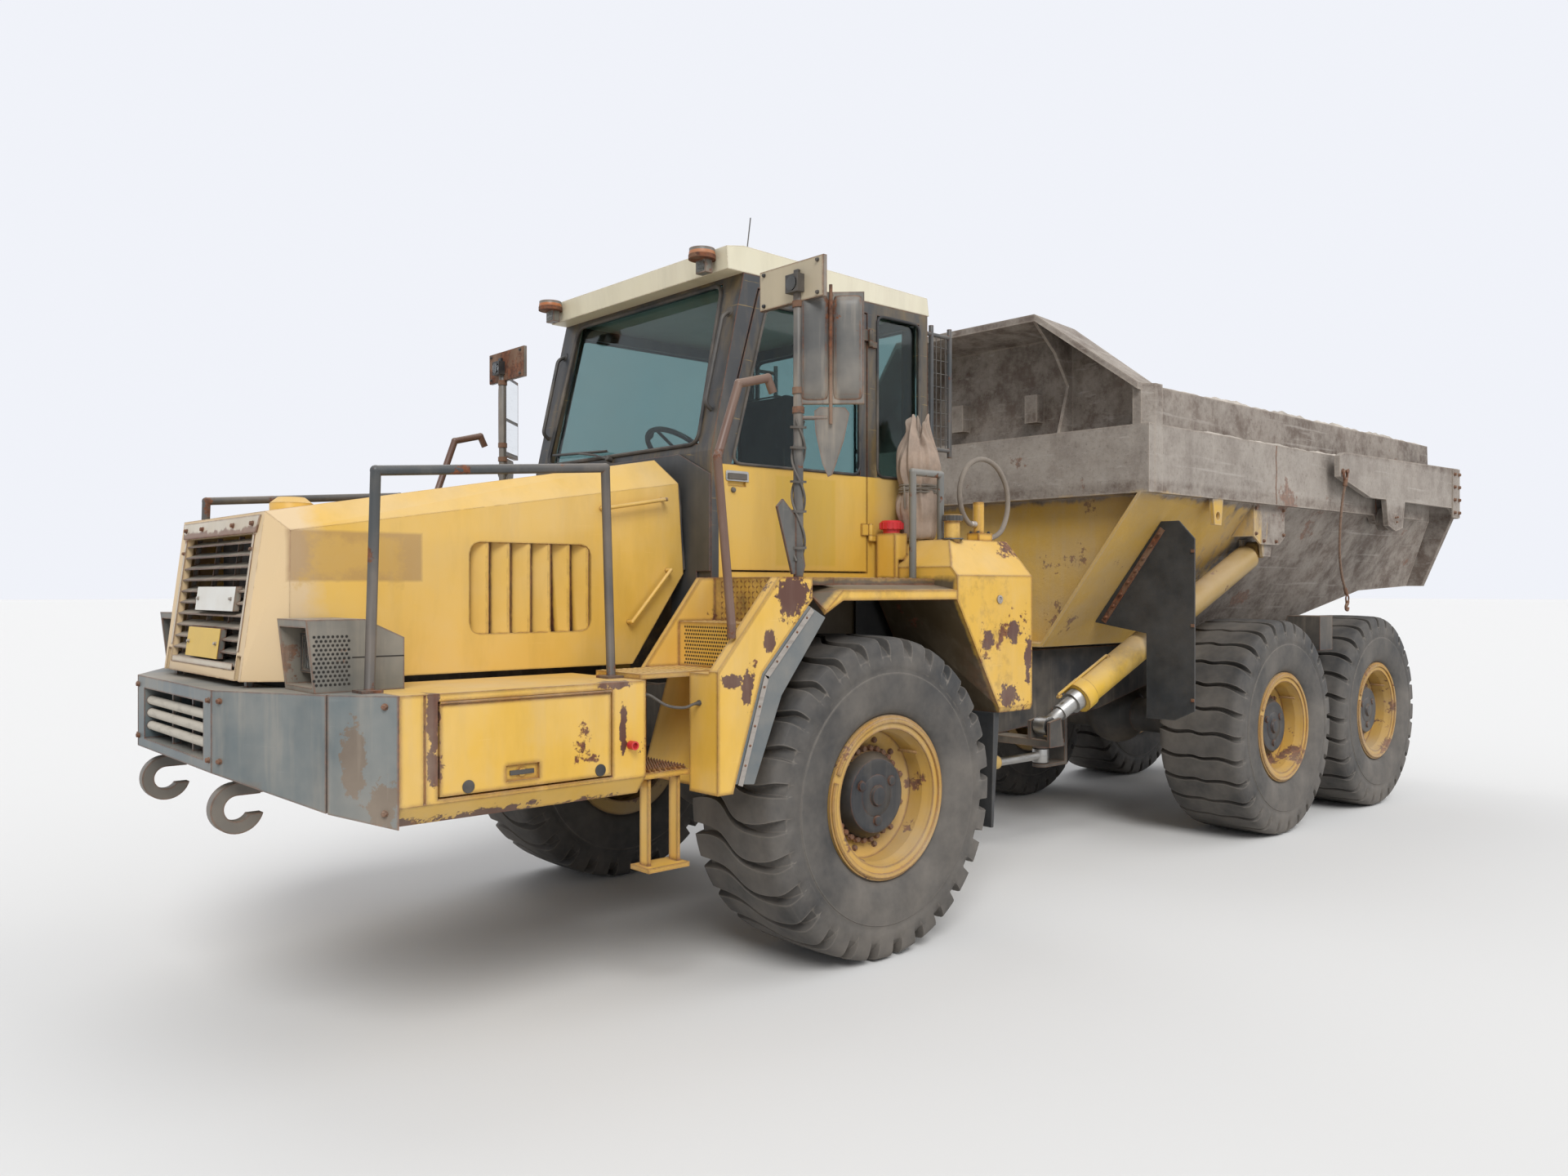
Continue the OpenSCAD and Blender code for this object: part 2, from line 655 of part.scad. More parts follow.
// Mirrors on posts that stand on the mudguards, outside the door's swing
post = [560, 1322];
post_z = deck_z + seat;
module mirrors() {
  color(dark) from_axle() both_sides() {
    translate([post[0], post[1], post_z]) cylinder(r = 22, h = 3080 - post_z);
    translate([post[0], post[1], 0]) rotate([0, 0, 135]) block([0, -14, 2560], [290, 14, 3050]);
    // Top plate, work lamp, cranked rod with its guard, and the gusset at the foot
    block([post[0] - 20, post[1] - 255, 3010], [post[0], post[1] + 160, 3190]);
    block([post[0] - 90, post[1] - 36, 3052], [post[0] - 19, post[1] + 44, 3132]);
    bar([post[0], post[1], 2500], [post[0] - 90, post[1] + 90, 2500], 9);
    translate([post[0], post[1], 0]) rotate([0, 0, 135])
      side_plate([[70, 2530], [95, 2548], [205, 2545], [225, 2520], [200, 2400], [150, 2250],
        [130, 2240], [105, 2300],
        [75, 2440]], -6, 12);
    side_plate([[522, 1850], [535, deck_z + 12], [600, deck_z + 12], [690, 2105], [655, 2140],
      [560, 2050]], post[1] - 6, 12);
  }
}

// Cowl between the hood and the cab
cowl_front = 620;
module cowl() {
  color(dark) from_axle() {
    difference() {
      cross_plate([[-guard_in_y + seat, box_top_z + 60], [-guard_in_y + seat, 1830], [-cab_y, 1830],
        [-cab_y, 2290], [-560, 2400], [560, 2400],
        [cab_y, 2290], [cab_y, 1830], [guard_in_y - seat, 1830], [guard_in_y - seat, box_top_z + 60]],
          633 + seat, 10);
      cross_plate([[-500, 1000], [-500, 2300], [500, 2300], [500, 1000]], 500, 300);
    }
  }
}

// Cab
windscreen_low = 663;
windscreen_high = 432;
door_hinge = [-436, 815];
door_hinge_z = [cab_floor_z + 170, cab_eave_z - 240];
module cab_shell() {
  color(yellow) from_axle() {
    difference() {
      side_plate([[633, deck_z + seat], [windscreen_low - 30, 2400], [windscreen_high, cab_eave_z],
        [-cab_rear, cab_eave_z],
        [-cab_rear, deck_z + seat]], -cab_y, 2 * cab_y);
      side_plate([[630 - wall_t, cab_floor_z], [windscreen_low - 30 - wall_t, 2400],
        [windscreen_high - wall_t, cab_eave_z + 1],
        [-cab_rear + wall_t, cab_eave_z + 1], [-cab_rear + wall_t, cab_floor_z]],
          -cab_y + wall_t, 2 * (cab_y - wall_t));
      // Door opening on the left
      side_plate([[560, cab_floor_z], [580, 2400], [windscreen_high - 90, cab_eave_z - 60],
        [-426, cab_eave_z - 60], [-426, cab_floor_z]],
        cab_y - wall_t - 1, wall_t + 2);
      // Fixed windows
      block([-cab_rear + 70, cab_y - wall_t - 1, cab_sill_z], [-500, cab_y + 1, cab_eave_z - 60]);
      side_plate([[540, cab_sill_z], [windscreen_high - 100, cab_eave_z - 60],
        [-cab_rear + 70, cab_eave_z - 60], [-cab_rear + 70, cab_sill_z]],
        -cab_y - 1, wall_t + 2);
      block([-cab_rear - 1, -650, cab_sill_z], [-cab_rear + wall_t + 1, 650, cab_eave_z - 60]);
      cross_plate([[-690, 2440], [690, 2440], [650, cab_eave_z - 30], [-650, cab_eave_z - 30]], 300, 400);
    }
    // Fixed knuckles and pins of the door's hinges
    for (z = door_hinge_z) {
      translate([door_hinge[0], door_hinge[1], z]) cylinder(r = 13, h = 30);
      translate([door_hinge[0], door_hinge[1], z]) cylinder(r = 7, h = 95);
      block([door_hinge[0] - 50, cab_y - 1, z], [door_hinge[0], door_hinge[1], z + 30]);
    }
    // Bearers on the frame's rails
    for (x = [-560, 300])
      both_sides() block([x, front_rail_y - 60, front_rail_z + front_rail_h + seat],
        [x + 120, front_rail_y, deck_z + 5]);
  }
}

module cab_roof() {
  color(cream) from_axle() {
    side_plate([[windscreen_high + 100, cab_eave_z + seat], [540, cab_top_z - 20], [430, cab_top_z],
      [-cab_rear, cab_top_z - 30], [-cab_rear - 15, cab_eave_z + seat]],
      -cab_y, 2 * cab_y);
  }
}

module cab_glass() {
  color(glassy) from_axle() {
    side_plate([[windscreen_low - 65, 2440 + seat], [windscreen_low - 65 + glass_t, 2440 + seat],
      [windscreen_high - 22 + glass_t, cab_eave_z - 30 - seat],
      [windscreen_high - 22, cab_eave_z - 30 - seat]], -650 + seat, 1300 - 2 * seat);
    block([-cab_rear + 20, -650 + seat, cab_sill_z + seat],
      [-cab_rear + 20 + glass_t, 650 - seat, cab_eave_z - 60 - seat]);
    block([-cab_rear + 70 + seat, cab_y - 30, cab_sill_z + seat],
      [-500 - seat, cab_y - 30 + glass_t, cab_eave_z - 60 - seat]);
    side_plate([[540 - 1, cab_sill_z + seat], [windscreen_high - 101, cab_eave_z - 60 - seat],
      [-cab_rear + 70 + seat, cab_eave_z - 60 - seat],
      [-cab_rear + 70 + seat, cab_sill_z + seat]], -cab_y + 20, glass_t);
  }
}

module cab_interior() {
  color(dark) from_axle() {
    block([-420, -260, cab_floor_z + seat], [60, 260, cab_floor_z + 420]);
    block([-480, -240, cab_floor_z + 420], [-360, 240, cab_floor_z + 1050]);
    block([380, -500, cab_floor_z + seat], [560, 500, 2380]);
    bar([385, 0, 2250], [210, 0, 2480], 22);
    translate([210, 0, 2480]) rotate([0, -37, 0]) rotate_extrude() translate([200, 0]) circle(r = 16);
    translate([210, 0, 2480]) rotate([0, -37, 0]) block([-200, -16, -10], [200, 16, 10]);
  }
}

// Hood, hinged at the front
hood_front = front_overhang - 101;
hood_rear = 660;
hood_axis = [2592, 1470];
hood_ear_y = 445;
module hood_solid(inset, drop) {
  y = hood_y - inset;
  ty = hood_top_y - inset;
  f = hood_front - inset;
  r = hood_rear + inset;
  convex([
    [f, hood_top_y - 16 - inset, hood_low_z - drop], [f, -(hood_top_y - 16 - inset), hood_low_z - drop],
    [f - 139, y, hood_low_z - drop], [f - 139, -y, hood_low_z - drop],
    [f - 85, ty, hood_front_z - inset], [f - 85, -ty, hood_front_z - inset],
    [f - 144, y, hood_front_z - 74 - inset], [f - 144, -y, hood_front_z - 74 - inset],
    [r + 100, ty, hood_rear_z - inset], [r + 100, -ty, hood_rear_z - inset],
    [r + 30, y, hood_rear_z - 115 - inset], [r + 30, -y, hood_rear_z - 115 - inset],
    [r, y, 1820], [r, -y, 1820], [r, y, hood_low_z - drop], [r, -y, hood_low_z - drop]
  ]);
}

louvre_x = [1180, 1770];
louvre_z = [1560, 1945];
module hood_shell() {
  difference() {
    hood_solid(0, 0);
    hood_solid(hood_t, 1);
    // Rear edge cut back below the cab
    side_plate([[hood_rear - 10, 1820], [hood_rear - 10, hood_low_z - 10], [960, hood_low_z - 10],
      [660, 1821]], -hood_y - 1, 2 * hood_y + 2);
    block([600, -hood_top_y + 60, hood_low_z - 10], [760, hood_top_y - 60, hood_rear_z - 60]);
    // Front opening behind the grille
    block([hood_front - 300, -426, 1440], [hood_front + 10, 426, 1960]);
    both_sides() {
      block([louvre_x[0], hood_y - hood_t - 1, louvre_z[0]], [louvre_x[1], hood_y + 1, louvre_z[1]]);
      // Slot for the hinge's ear
      block([hood_axis[0] - 30, hood_ear_y - clear, hood_low_z - 1],
        [hood_axis[0] + 60, hood_ear_y + 30 + clear, hood_axis[1] + 25]);
    }
  }
}

inlet_cap = [2160, -330, 2113];
module louvre_corner(x, z, dx, dz) {
  side_plate([[x - dx, z - dz], [x + 52 * dx, z - dz], [x + 22 * dx, z + 8 * dz], [x + 8 * dx, z + 22 * dz],
    [x - dx, z + 52 * dz]], hood_y - hood_t, hood_t);
}

module hood() {
  color(yellow) from_axle() {
    difference() {
      union() {
        hood_shell();
        both_sides() cross_bar(hood_axis[0], hood_ear_y + 30 + clear + 9, hood_axis[1], 20, 16);
      }
      both_sides() cross_bar(hood_axis[0], hood_ear_y + 30 + clear, hood_axis[1], 8 + seat, 28);
    }
    // Grab handles, the corners of the louvre's opening, and the cap of the air inlet
    both_sides() {
      pipe([[1125, hood_y - 10, 2111], [1125, hood_y + 42, 2111], [790, hood_y + 42, 2168],
        [790, hood_y - 10, 2168]], 9);
      pipe([[759, hood_y - 10, 1836], [759, hood_y + 34, 1836], [978, hood_y + 34, 1596],
        [978, hood_y - 10, 1596]], 9);
      for (u = [0, 1], v = [0, 1]) louvre_corner(louvre_x[u], louvre_z[v], 1 - 2 * u, 1 - 2 * v);
    }
    translate([inlet_cap.x, inlet_cap.y, inlet_cap.z - 60]) cylinder(r = 92, h = 82);
    translate([inlet_cap.x, inlet_cap.y, inlet_cap.z + 21]) cylinder(r1 = 92, r2 = 58, h = 28);
    both_sides() for (i = [0 : louvre_slats - 1]) {
      w = (louvre_x[1] - louvre_x[0]) / louvre_slats;
      x = louvre_x[0] + i * w + 6;
      deck_plate([[x, hood_y - 4], [x + 14, hood_y - 4], [x + 0.75 * w, hood_y - hood_t - 20],
        [x + 0.75 * w - 14, hood_y - hood_t - 20]],
        louvre_z[0] - 6, louvre_z[1] - louvre_z[0] + 12);
    }
  }
}

grille_x_low = 2634;
grille_x_high = 2566;
// Front face of the grille's bars at a height, and the blank plates as middle, lower and upper edge, and width
function grille_face(z) = grille_x_low + (grille_x_high - grille_x_low) * (z - 1441) / 518 + 6;
grille_plates = [[95, 1662, 1757, 480], [14, 1474, 1592, 416]];
module grille() {
  color(dark) from_axle() {
    for (i = [0 : grille_bars - 1]) {
      s = (i + 0.5) / grille_bars;
      translate([grille_x_low + (grille_x_high - grille_x_low) * s - 30, 0, 1440 + s * 520])
        rotate([0, 20, 0]) cube([60, 2 * 426 - 2 * seat, 6], center = true);
    }
    for (y = [-423, -140, 140, 423])
      side_plate([[grille_x_low - 60, 1441], [grille_x_low - 40, 1441], [grille_x_high - 40, 1959],
        [grille_x_high - 60, 1959]], y - 3, 6);
    // Two blank plates on the bars
    for (p = grille_plates)
      side_plate([[grille_face(p[1]) - 22, p[1]], [grille_face(p[1]), p[1]], [grille_face(p[2]), p[2]],
        [grille_face(p[2]) - 22, p[2]]], p[0] - p[3] / 2, p[3]);
  }
}

// Cab door on the left, hinged at its rear edge
module door_left() {
  color(yellow) from_axle() for (z = door_hinge_z) difference() {
    union() {
      translate([door_hinge[0], door_hinge[1], z + 30 + seat]) cylinder(r = 13, h = 60);
      block([door_hinge[0], cab_y + 2, z + 30 + seat], [door_hinge[0] + 60, cab_y + 11, z + 90]);
      block([door_hinge[0] + 22, cab_y - 1, z + 30 + seat], [door_hinge[0] + 60, cab_y + 3, z + 90]);
    }
    translate([door_hinge[0], door_hinge[1], z]) cylinder(r = 7 + seat, h = 100);
  }
  color(yellow) from_axle() difference() {
    side_plate([[560 - clear, cab_floor_z + clear], [580 - clear, 2400],
      [windscreen_high - 90 - clear, cab_eave_z - 60 - clear],
      [-426 + clear, cab_eave_z - 60 - clear], [-426 + clear, cab_floor_z + clear]],
        cab_y - wall_t, wall_t);
    side_plate([[510, cab_sill_z], [windscreen_high - 150, cab_eave_z - 130], [-370, cab_eave_z - 130],
      [-370, cab_sill_z]], cab_y - wall_t - 1, wall_t + 2);
    block([420, cab_y - 12, 2240], [530, cab_y + 1, 2290]);
  }
}

module door_glass_left() {
  color(glassy) from_axle()
    side_plate([[510 - 1, cab_sill_z + seat], [windscreen_high - 151, cab_eave_z - 130 - seat],
      [-370 + seat, cab_eave_z - 130 - seat], [-370 + seat, cab_sill_z + seat]],
      cab_y - 30, glass_t);
}

// Steering cylinders
steer_run = [steer_back[0] - steer_front[0], steer_back[1] - steer_front[1]];
steer_len = norm(steer_run);
steer_turn = atan2(steer_run[1], steer_run[0]);
steer_barrel_r = 44;
steer_rod_r = 28;
steer_closed = 880;

module steer_place(side) {
  from_axle() on_side(side) translate([hitch_x + steer_front[0], steer_front[1],
    steer_z]) rotate([0, 0, steer_turn]) children();
}

module steer_barrel(side) {
  color(yellow) steer_place(side) difference() {
    union() {
      cylinder(r = steer_eye_r, h = steer_eye_h, center = true);
      rotate([0, 90, 0]) cylinder(r = steer_barrel_r, h = steer_closed);
    }
    cylinder(r = steer_pin_r + seat, h = steer_eye_h + 30, center = true);
    translate([90, 0, 0]) rotate([0, 90, 0]) cylinder(r = steer_rod_r + seat, h = steer_closed);
  }
}

module steer_rod(side) {
  color(steel) steer_place(side) difference() {
    union() {
      translate([steer_len, 0, 0]) cylinder(r = steer_eye_r, h = steer_eye_h, center = true);
      translate([480, 0, 0]) rotate([0, 90, 0]) cylinder(r = steer_rod_r, h = steer_len - 480);
    }
    translate([steer_len, 0, 0]) cylinder(r = steer_pin_r + seat, h = steer_eye_h + 2, center = true);
  }
}

// Rear frame
tongue_low_z = clevis_low_z + clevis_t + tongue_gap;
tongue_top_z = clevis_top_z - clevis_t - tongue_gap;
tongue_r = 150;
rear_neck_x = hitch_x - 620;
frame_tail_x = -body_hinge_back - 130;
hinge_z = 1320;
hinge_pin_r = 45;
hoist_foot = [-2130, 720, 880];
// Turn of the hoist pins from square, so that the eyes meet their pins at both ends of the stroke
hoist_yaw = 4.17;
hoist_gap = 124;
hoist_top = [-4200, 1100, 2030];
module rear_frame() {
  color(dark) from_axle() {
    difference() {
      union() {
        translate([hitch_x, 0, tongue_low_z]) cylinder(r = tongue_r, h = tongue_top_z - tongue_low_z);
        deck_plate([[hitch_x, tongue_r - 10], [hitch_x - 260, tongue_r - 10], [rear_neck_x, rear_rail_y],
          [rear_neck_x, -rear_rail_y],
          [hitch_x - 260, -tongue_r + 10], [hitch_x, -tongue_r + 10]],
            tongue_low_z, tongue_top_z - tongue_low_z);
      }
      translate([hitch_x, 0, tongue_low_z - 1]) cylinder(r = hitch_pin_r + seat, h = tongue_top_z);
    }
    both_sides() {
      difference() {
        side_plate([[rear_neck_x, tongue_low_z], [rear_neck_x, tongue_top_z], [-2450, rear_top_z],
          [-body_hinge_back + 260, rear_top_z], [-body_hinge_back + 100, hinge_z + 60],
            [frame_tail_x, hinge_z + 60],
          [frame_tail_x, 1060], [-3950, 1010], [-3300, 880]], rear_rail_y - rail_t, rail_t);
        cross_bar(-body_hinge_back, rear_rail_y - rail_t / 2, hinge_z, hinge_pin_r + seat, rail_t + 2);
      }
      translate([hitch_x, 0, 0]) {
        steer_ears(steer_back[0], steer_back[1], steer_back[0] - 200, false);
        block([steer_back[0] - 200 - rail_t, rear_rail_y - rail_t,
          steer_z - steer_eye_h / 2 - clear - ear_t],
          [steer_back[0] - 200, steer_back[1] + steer_eye_r, 920]);
      }
    }
    for (x = [-2350, -3400, bogie_x, frame_tail_x + 5])
      block([x, -rear_rail_y + rail_t - 1, 1060], [x + rail_t, rear_rail_y - rail_t + 1, rear_top_z - 20]);
    // Outriggers of the hoist cylinders, and of the gate's cables
    both_sides() {
      for (y = [hoist_foot[1] - hoist_gap / 2 - ear_t, hoist_foot[1] + hoist_gap / 2])
        side_plate([[hoist_foot[0] - 90, hoist_foot[2] - 130], [hoist_foot[0] + 60, hoist_foot[2] - 130],
          [hoist_foot[0] + 60, hoist_foot[2] + 30],
          [hoist_foot[0] - 60, hoist_foot[2] + 50]], y, ear_t);
      block([hoist_foot[0] - 90, rear_rail_y - 200, hoist_foot[2] - 130],
        [hoist_foot[0] + 60, hoist_foot[1] + hoist_gap / 2 + ear_t, hoist_foot[2] - 85]);
      cross_plate([[rear_rail_y - 1, 1080], [700, 1180], [1040, 1280], [1290, 1280], [1290, 1540],
        [1040, 1540], [980, 1330], [rear_rail_y - 1, 1240]],
        bogie_x - 110, 220);
    }
  }
}

module rear_axles() {
  color(dark) from_axle() {
    axle(mid_x);
    axle(rear_x);
  }
}

beam_y = [500, 600];
module bogie_beams() {
  color(dark) from_axle() {
    both_sides() side_plate([[mid_x - 60, axle_z + housing_r + seat],
      [mid_x + 110, axle_z + housing_r + seat], [mid_x + 110, 960], [bogie_x, 1060], [rear_x - 110, 960],
      [rear_x - 110, axle_z + housing_r + seat], [rear_x + 60, axle_z + housing_r + seat],
        [bogie_x, 900]], beam_y[0], beam_y[1] - beam_y[0]);
    both_sides() translate([bogie_x, rear_rail_y + seat, 980]) rotate([-90, 0, 0]) cylinder(r = 60,
      h = beam_y[1] - rear_rail_y);
  }
}

// Dump body. Sections of its lower part: place along the machine, half width and height of the floor
function body_x(share) = -body_front - share * (body_tail - body_front);
body_sections = [
  [-body_front, 460, 1355],
  [body_x(0.493), 540, 1360],
  [body_x(0.655), 700, 1500],
  [body_x(0.838), 880, 1730],
  [-body_tail, 990, 1770]
];
front_wall = 150;
function body_ring(s, inset, rise) = [
  [s[0], -(s[1] - 0.4 * inset), s[2] + inset], [s[0], s[1] - 0.4 * inset, s[2] + inset],
  [s[0], body_y - inset, body_rail_z], [s[0], body_y - inset, body_top_z + rise],
  [s[0], -(body_y - inset), body_top_z + rise], [s[0], -(body_y - inset), body_rail_z]
];
// One face between two sections. The sloping plates are twisted, so they get a fold from low to high
function loft_side(a, b, k, i) =
  i == 1 ? [[a, a + k, b + k], [a, b + k, b]]
  : i == 5 ? [[a, a + k, b], [a + k, b + k, b]]
  : [[a, a + k, b + k, b]];
function loft_faces(n, k) = concat(
  [[for (i = [0 : k - 1]) i]],
  [for (j = [0 : n - 2], i = [0 : k - 1]) each loft_side(j * k + i, j * k + (i + 1) % k, k, i)],
  [[for (i = [k - 1 : -1 : 0]) (n - 1) * k + i]]
);
module body_loft(sections, inset, rise) {
  polyhedron([for (s = sections) each body_ring(s, inset, rise)], turned(loft_faces(len(sections), 6)), 6);
}
inner_sections = [
  [-body_front - front_wall - body_t, body_sections[0][1] + 4, body_sections[0][2]],
  body_sections[1], body_sections[2], body_sections[3],
  [-body_tail - 1, body_sections[4][1], body_sections[4][2]]
];
headboard_x = -body_front - front_wall;
lip_x = -2190;
rib_y = 600;
gate_pivot = [-6110, 2320];
eye_at = [-3350, 1238, 2235];
eye_r = 28;
cover_x = [-4443, -3967];
cover_y = body_y + 4;

module dump_body() {
  color(weathered) from_axle() {
    difference() {
      body_loft(body_sections, 0, 0);
      body_loft(inner_sections, body_t, 1);
      // Pocket in front of the wall, which leaves the flanges
      body_loft([[-body_front + 1, body_sections[0][1], body_sections[0][2]],
        [headboard_x, body_sections[0][1] + 3, body_sections[0][2]]], body_t, 1);
      // Tail edge of the sides, inside the gate's swing
      side_plate([[-body_tail, body_sections[4][2]], [-body_tail + 90, body_top_z + 5],
        [-body_tail - 5, body_top_z + 5], [-body_tail - 5, body_sections[4][2]]],
        -body_y - 1, 2 * body_y + 2);
    }
    // Rails
    both_sides() block([-body_tail + 350, body_y - 1, body_rail_z],
      [-body_front, body_rail_y, body_rail_z + body_rail_h]);
    block([headboard_x - body_t, -body_rail_y, body_rail_z],
      [-body_front, body_rail_y, body_rail_z + body_rail_h]);
    // Headboard, its lip and ribs
    cross_plate([[-body_y, body_rail_z + body_rail_h - 1], [body_y, body_rail_z + body_rail_h - 1],
      [body_y, body_top_z], [rib_y, headboard_z - 40], [-rib_y, headboard_z - 40], [-body_y, body_top_z]],
      headboard_x - body_t, body_t);
    side_plate([[headboard_x - body_t, headboard_z - 80], [headboard_x - body_t, headboard_z - 30],
      [lip_x, headboard_z], [lip_x, headboard_z - 45]], -rib_y, 2 * rib_y);
    both_sides() {
      convex([[headboard_x - body_t, rib_y, headboard_z - 80],
        [headboard_x - body_t, rib_y, headboard_z - 30], [lip_x, rib_y, headboard_z],
        [lip_x, rib_y, headboard_z - 45],
        [headboard_x - body_t, body_y, body_top_z - 40], [headboard_x - body_t, body_y, body_top_z + 5],
          [-body_front + 40, body_y, body_top_z + 5], [-body_front + 40, body_y, body_top_z - 40]]);
      side_plate([[headboard_x - 1, body_rail_z + body_rail_h - 1],
        [-body_front, body_rail_z + body_rail_h - 1], [headboard_x + 40, 3100], [-body_front + 40, 3300],
        [lip_x - 10, headboard_z - 44],
        [headboard_x - 1, headboard_z - 75]], rib_y - 20, 20);
      block([headboard_x - 1, 270, 2880], [headboard_x + 80, 370, 3070]);
      // Upper bracket of the hoist cylinder
      side_plate([[hoist_top[0] - 140, body_rail_z + 1], [hoist_top[0] + 140, body_rail_z + 1],
        [hoist_top[0] + 60, hoist_top[2] - 50], [hoist_top[0] - 60, hoist_top[2] - 50]],
        hoist_top[1] + hoist_gap / 2, ear_t);
      side_plate([[hoist_top[0] - 90, 2105], [hoist_top[0] + 90, 2105],
        [hoist_top[0] + 60, hoist_top[2] - 50], [hoist_top[0] - 60, hoist_top[2] - 50]],
        hoist_top[1] - hoist_gap / 2 - ear_t, ear_t);
      translate(hoist_top) rotate([0, 0, -hoist_yaw]) cross_bar(0, 0, 0, 35, hoist_gap + 30);
      // Hinge lugs under the floor
      side_plate([[-body_hinge_back - 90, hinge_z - 90], [-body_hinge_back + 90, hinge_z - 90],
        [-body_hinge_back + 260, 1560], [-body_hinge_back - 300, 1690]], rear_rail_y + seat + clear, 60);
      cross_bar(-body_hinge_back, rear_rail_y + 20, hinge_z, hinge_pin_r, 120);
      // Lifting eye below the rail
      difference() {
        side_plate([[eye_at[0] - 70, body_rail_z + 1], [eye_at[0] + 70, body_rail_z + 1],
          [eye_at[0] + 45, eye_at[2] - 60], [eye_at[0] - 45, eye_at[2] - 60]], eye_at[1] - 15, 30);
        cross_bar(eye_at[0], eye_at[1], eye_at[2], eye_r, 32);
      }
      // Lug that carries the gate's pivot
      translate([gate_pivot[0], body_rail_y + 30, gate_pivot[1]]) rotate([90, 0, 0]) cylinder(r = 95,
        h = 90, center = true);
      side_plate([[gate_pivot[0] - 180, body_rail_z + 40], [gate_pivot[0] + 180, body_rail_z + 40],
        [gate_pivot[0] + 95, gate_pivot[1] - 40], [gate_pivot[0] - 95, gate_pivot[1] - 40]],
        body_y - 1, 56);
      cross_bar(gate_pivot[0], body_rail_y + 60, gate_pivot[1], 45, 120);
      // Chamfered post on the front corner
      deck_plate([[-body_front - 1, body_y - 60], [-body_front - 1, body_y],
        [-body_front - 70, body_rail_y + 7],
        [-body_front - 150, body_rail_y + 7], [-body_front - 150, body_y - 1]],
          body_rail_z + 2, body_top_z - body_rail_z - 2);
      // Box round the hoist's upper bracket
      side_plate([[cover_x[0], body_rail_z + 1], [cover_x[1], body_rail_z + 1], [cover_x[1], 2120],
        [cover_x[1] - 93, 2066], [cover_x[0] + 93, 2066], [cover_x[0], 2120]], cover_y - 14, 14);
      for (x = [cover_x[0], cover_x[1] - 14])
        cross_plate([[cover_y - 170, 2120], [cover_y, 2120], [cover_y, body_rail_z + 2],
          [cover_y - 8, body_rail_z + 2]], x, 14);
    }
  }
}

// Rubber flaps behind the front wheels, cut to the slope of the body's plates
module body_flaps() {
  color(rubber) from_axle() difference() {
    both_sides() cross_plate([[560, 1520], [975, 1450], [975, 890], [1180, 890], [1320, 960], [1320, 2070],
      [1210, 2190], [1060, 2190]], -2925, 12);
    body_loft(body_sections, -seat, 0);
  }
}

// Tailgate with its side arms
arm_y = body_rail_y + 75 + seat;
arm_t = 40;
gate_x = tail_x;
cable_eye = [-5060, 2640];
module tailgate() {
  color(weathered) from_axle() {
    both_sides() difference() {
      union() {
        side_plate([[cable_eye[0] + 50, 2760], [cable_eye[0] + 50, 2600], [-5600, 2470],
          [gate_x + 170, 2470], [gate_x, 2380], [gate_x, 2830], [-5100, 2790]], arm_y, arm_t);
        side_plate([[-5900, 2520], [-6320, 2520], [-6260, 2250], [gate_pivot[0], 2220], [-5960, 2260]],
          arm_y, arm_t);
      }
      cross_bar(gate_pivot[0], arm_y + arm_t / 2, gate_pivot[1], 45 + seat, arm_t + 2);
      cross_bar(cable_eye[0], arm_y + arm_t / 2, cable_eye[1], 16, arm_t + 2);
    }
    // Bolted plates on the ends of the gate
    both_sides() block([gate_x, arm_y + arm_t - 1, 2385], [gate_x + 170, arm_y + arm_t + 12, 2825]);
    cross_plate([[-arm_y - 1, 2830], [-arm_y - 1, 2380], [-1080, 1770], [1080, 1770], [arm_y + 1, 2380],
      [arm_y + 1, 2830]], gate_x, 60);
  }
}

// Wire rope from the gate's arm down to the frame's bracket
cable_y = arm_y + arm_t + 22;
cable_r = 11;
module gate_cable(side) {
  color(steel) from_axle() on_side(side) {
    cross_bar(cable_eye[0], cable_y - 16, cable_eye[1], 15.7, 75);
    translate([cable_eye[0], cable_y, cable_eye[1]]) rotate([90, 0, 0]) cylinder(r = 40, h = 24,
      center = true);
    pipe([[cable_eye[0], cable_y, cable_eye[1] - 20], [cable_eye[0] + 90, cable_y, 2300],
      [cable_eye[0] + 100, cable_y, 1980], [cable_eye[0] - 20, cable_y, 1700]], cable_r);
    translate([cable_eye[0] - 30, cable_y, 1660]) rotate([90, 0, 0]) rotate_extrude() translate([38,
      0]) circle(r = 12);
  }
}

// Hoist cylinders, leaning back from the frame to the body's side
hoist_run = hoist_foot - hoist_top;
hoist_len = norm(hoist_run);
hoist_barrel_r = 92;
hoist_stage_r = 72;
hoist_rod_r = 52;
hoist_barrel_len = hoist_len - 330;
hoist_eye_w = 100;
module hoist_place() {
  from_axle() translate(hoist_top)
    rotate([0, acos(hoist_run.z / hoist_len), atan2(hoist_run.y, hoist_run.x)]) children();
}
// Eye on a pin that stands nearly square to the machine
module hoist_eye(at, r, w) { from_axle() translate(at) rotate([0, 0, -hoist_yaw]) cross_bar(0, 0, 0, r,
  w); }

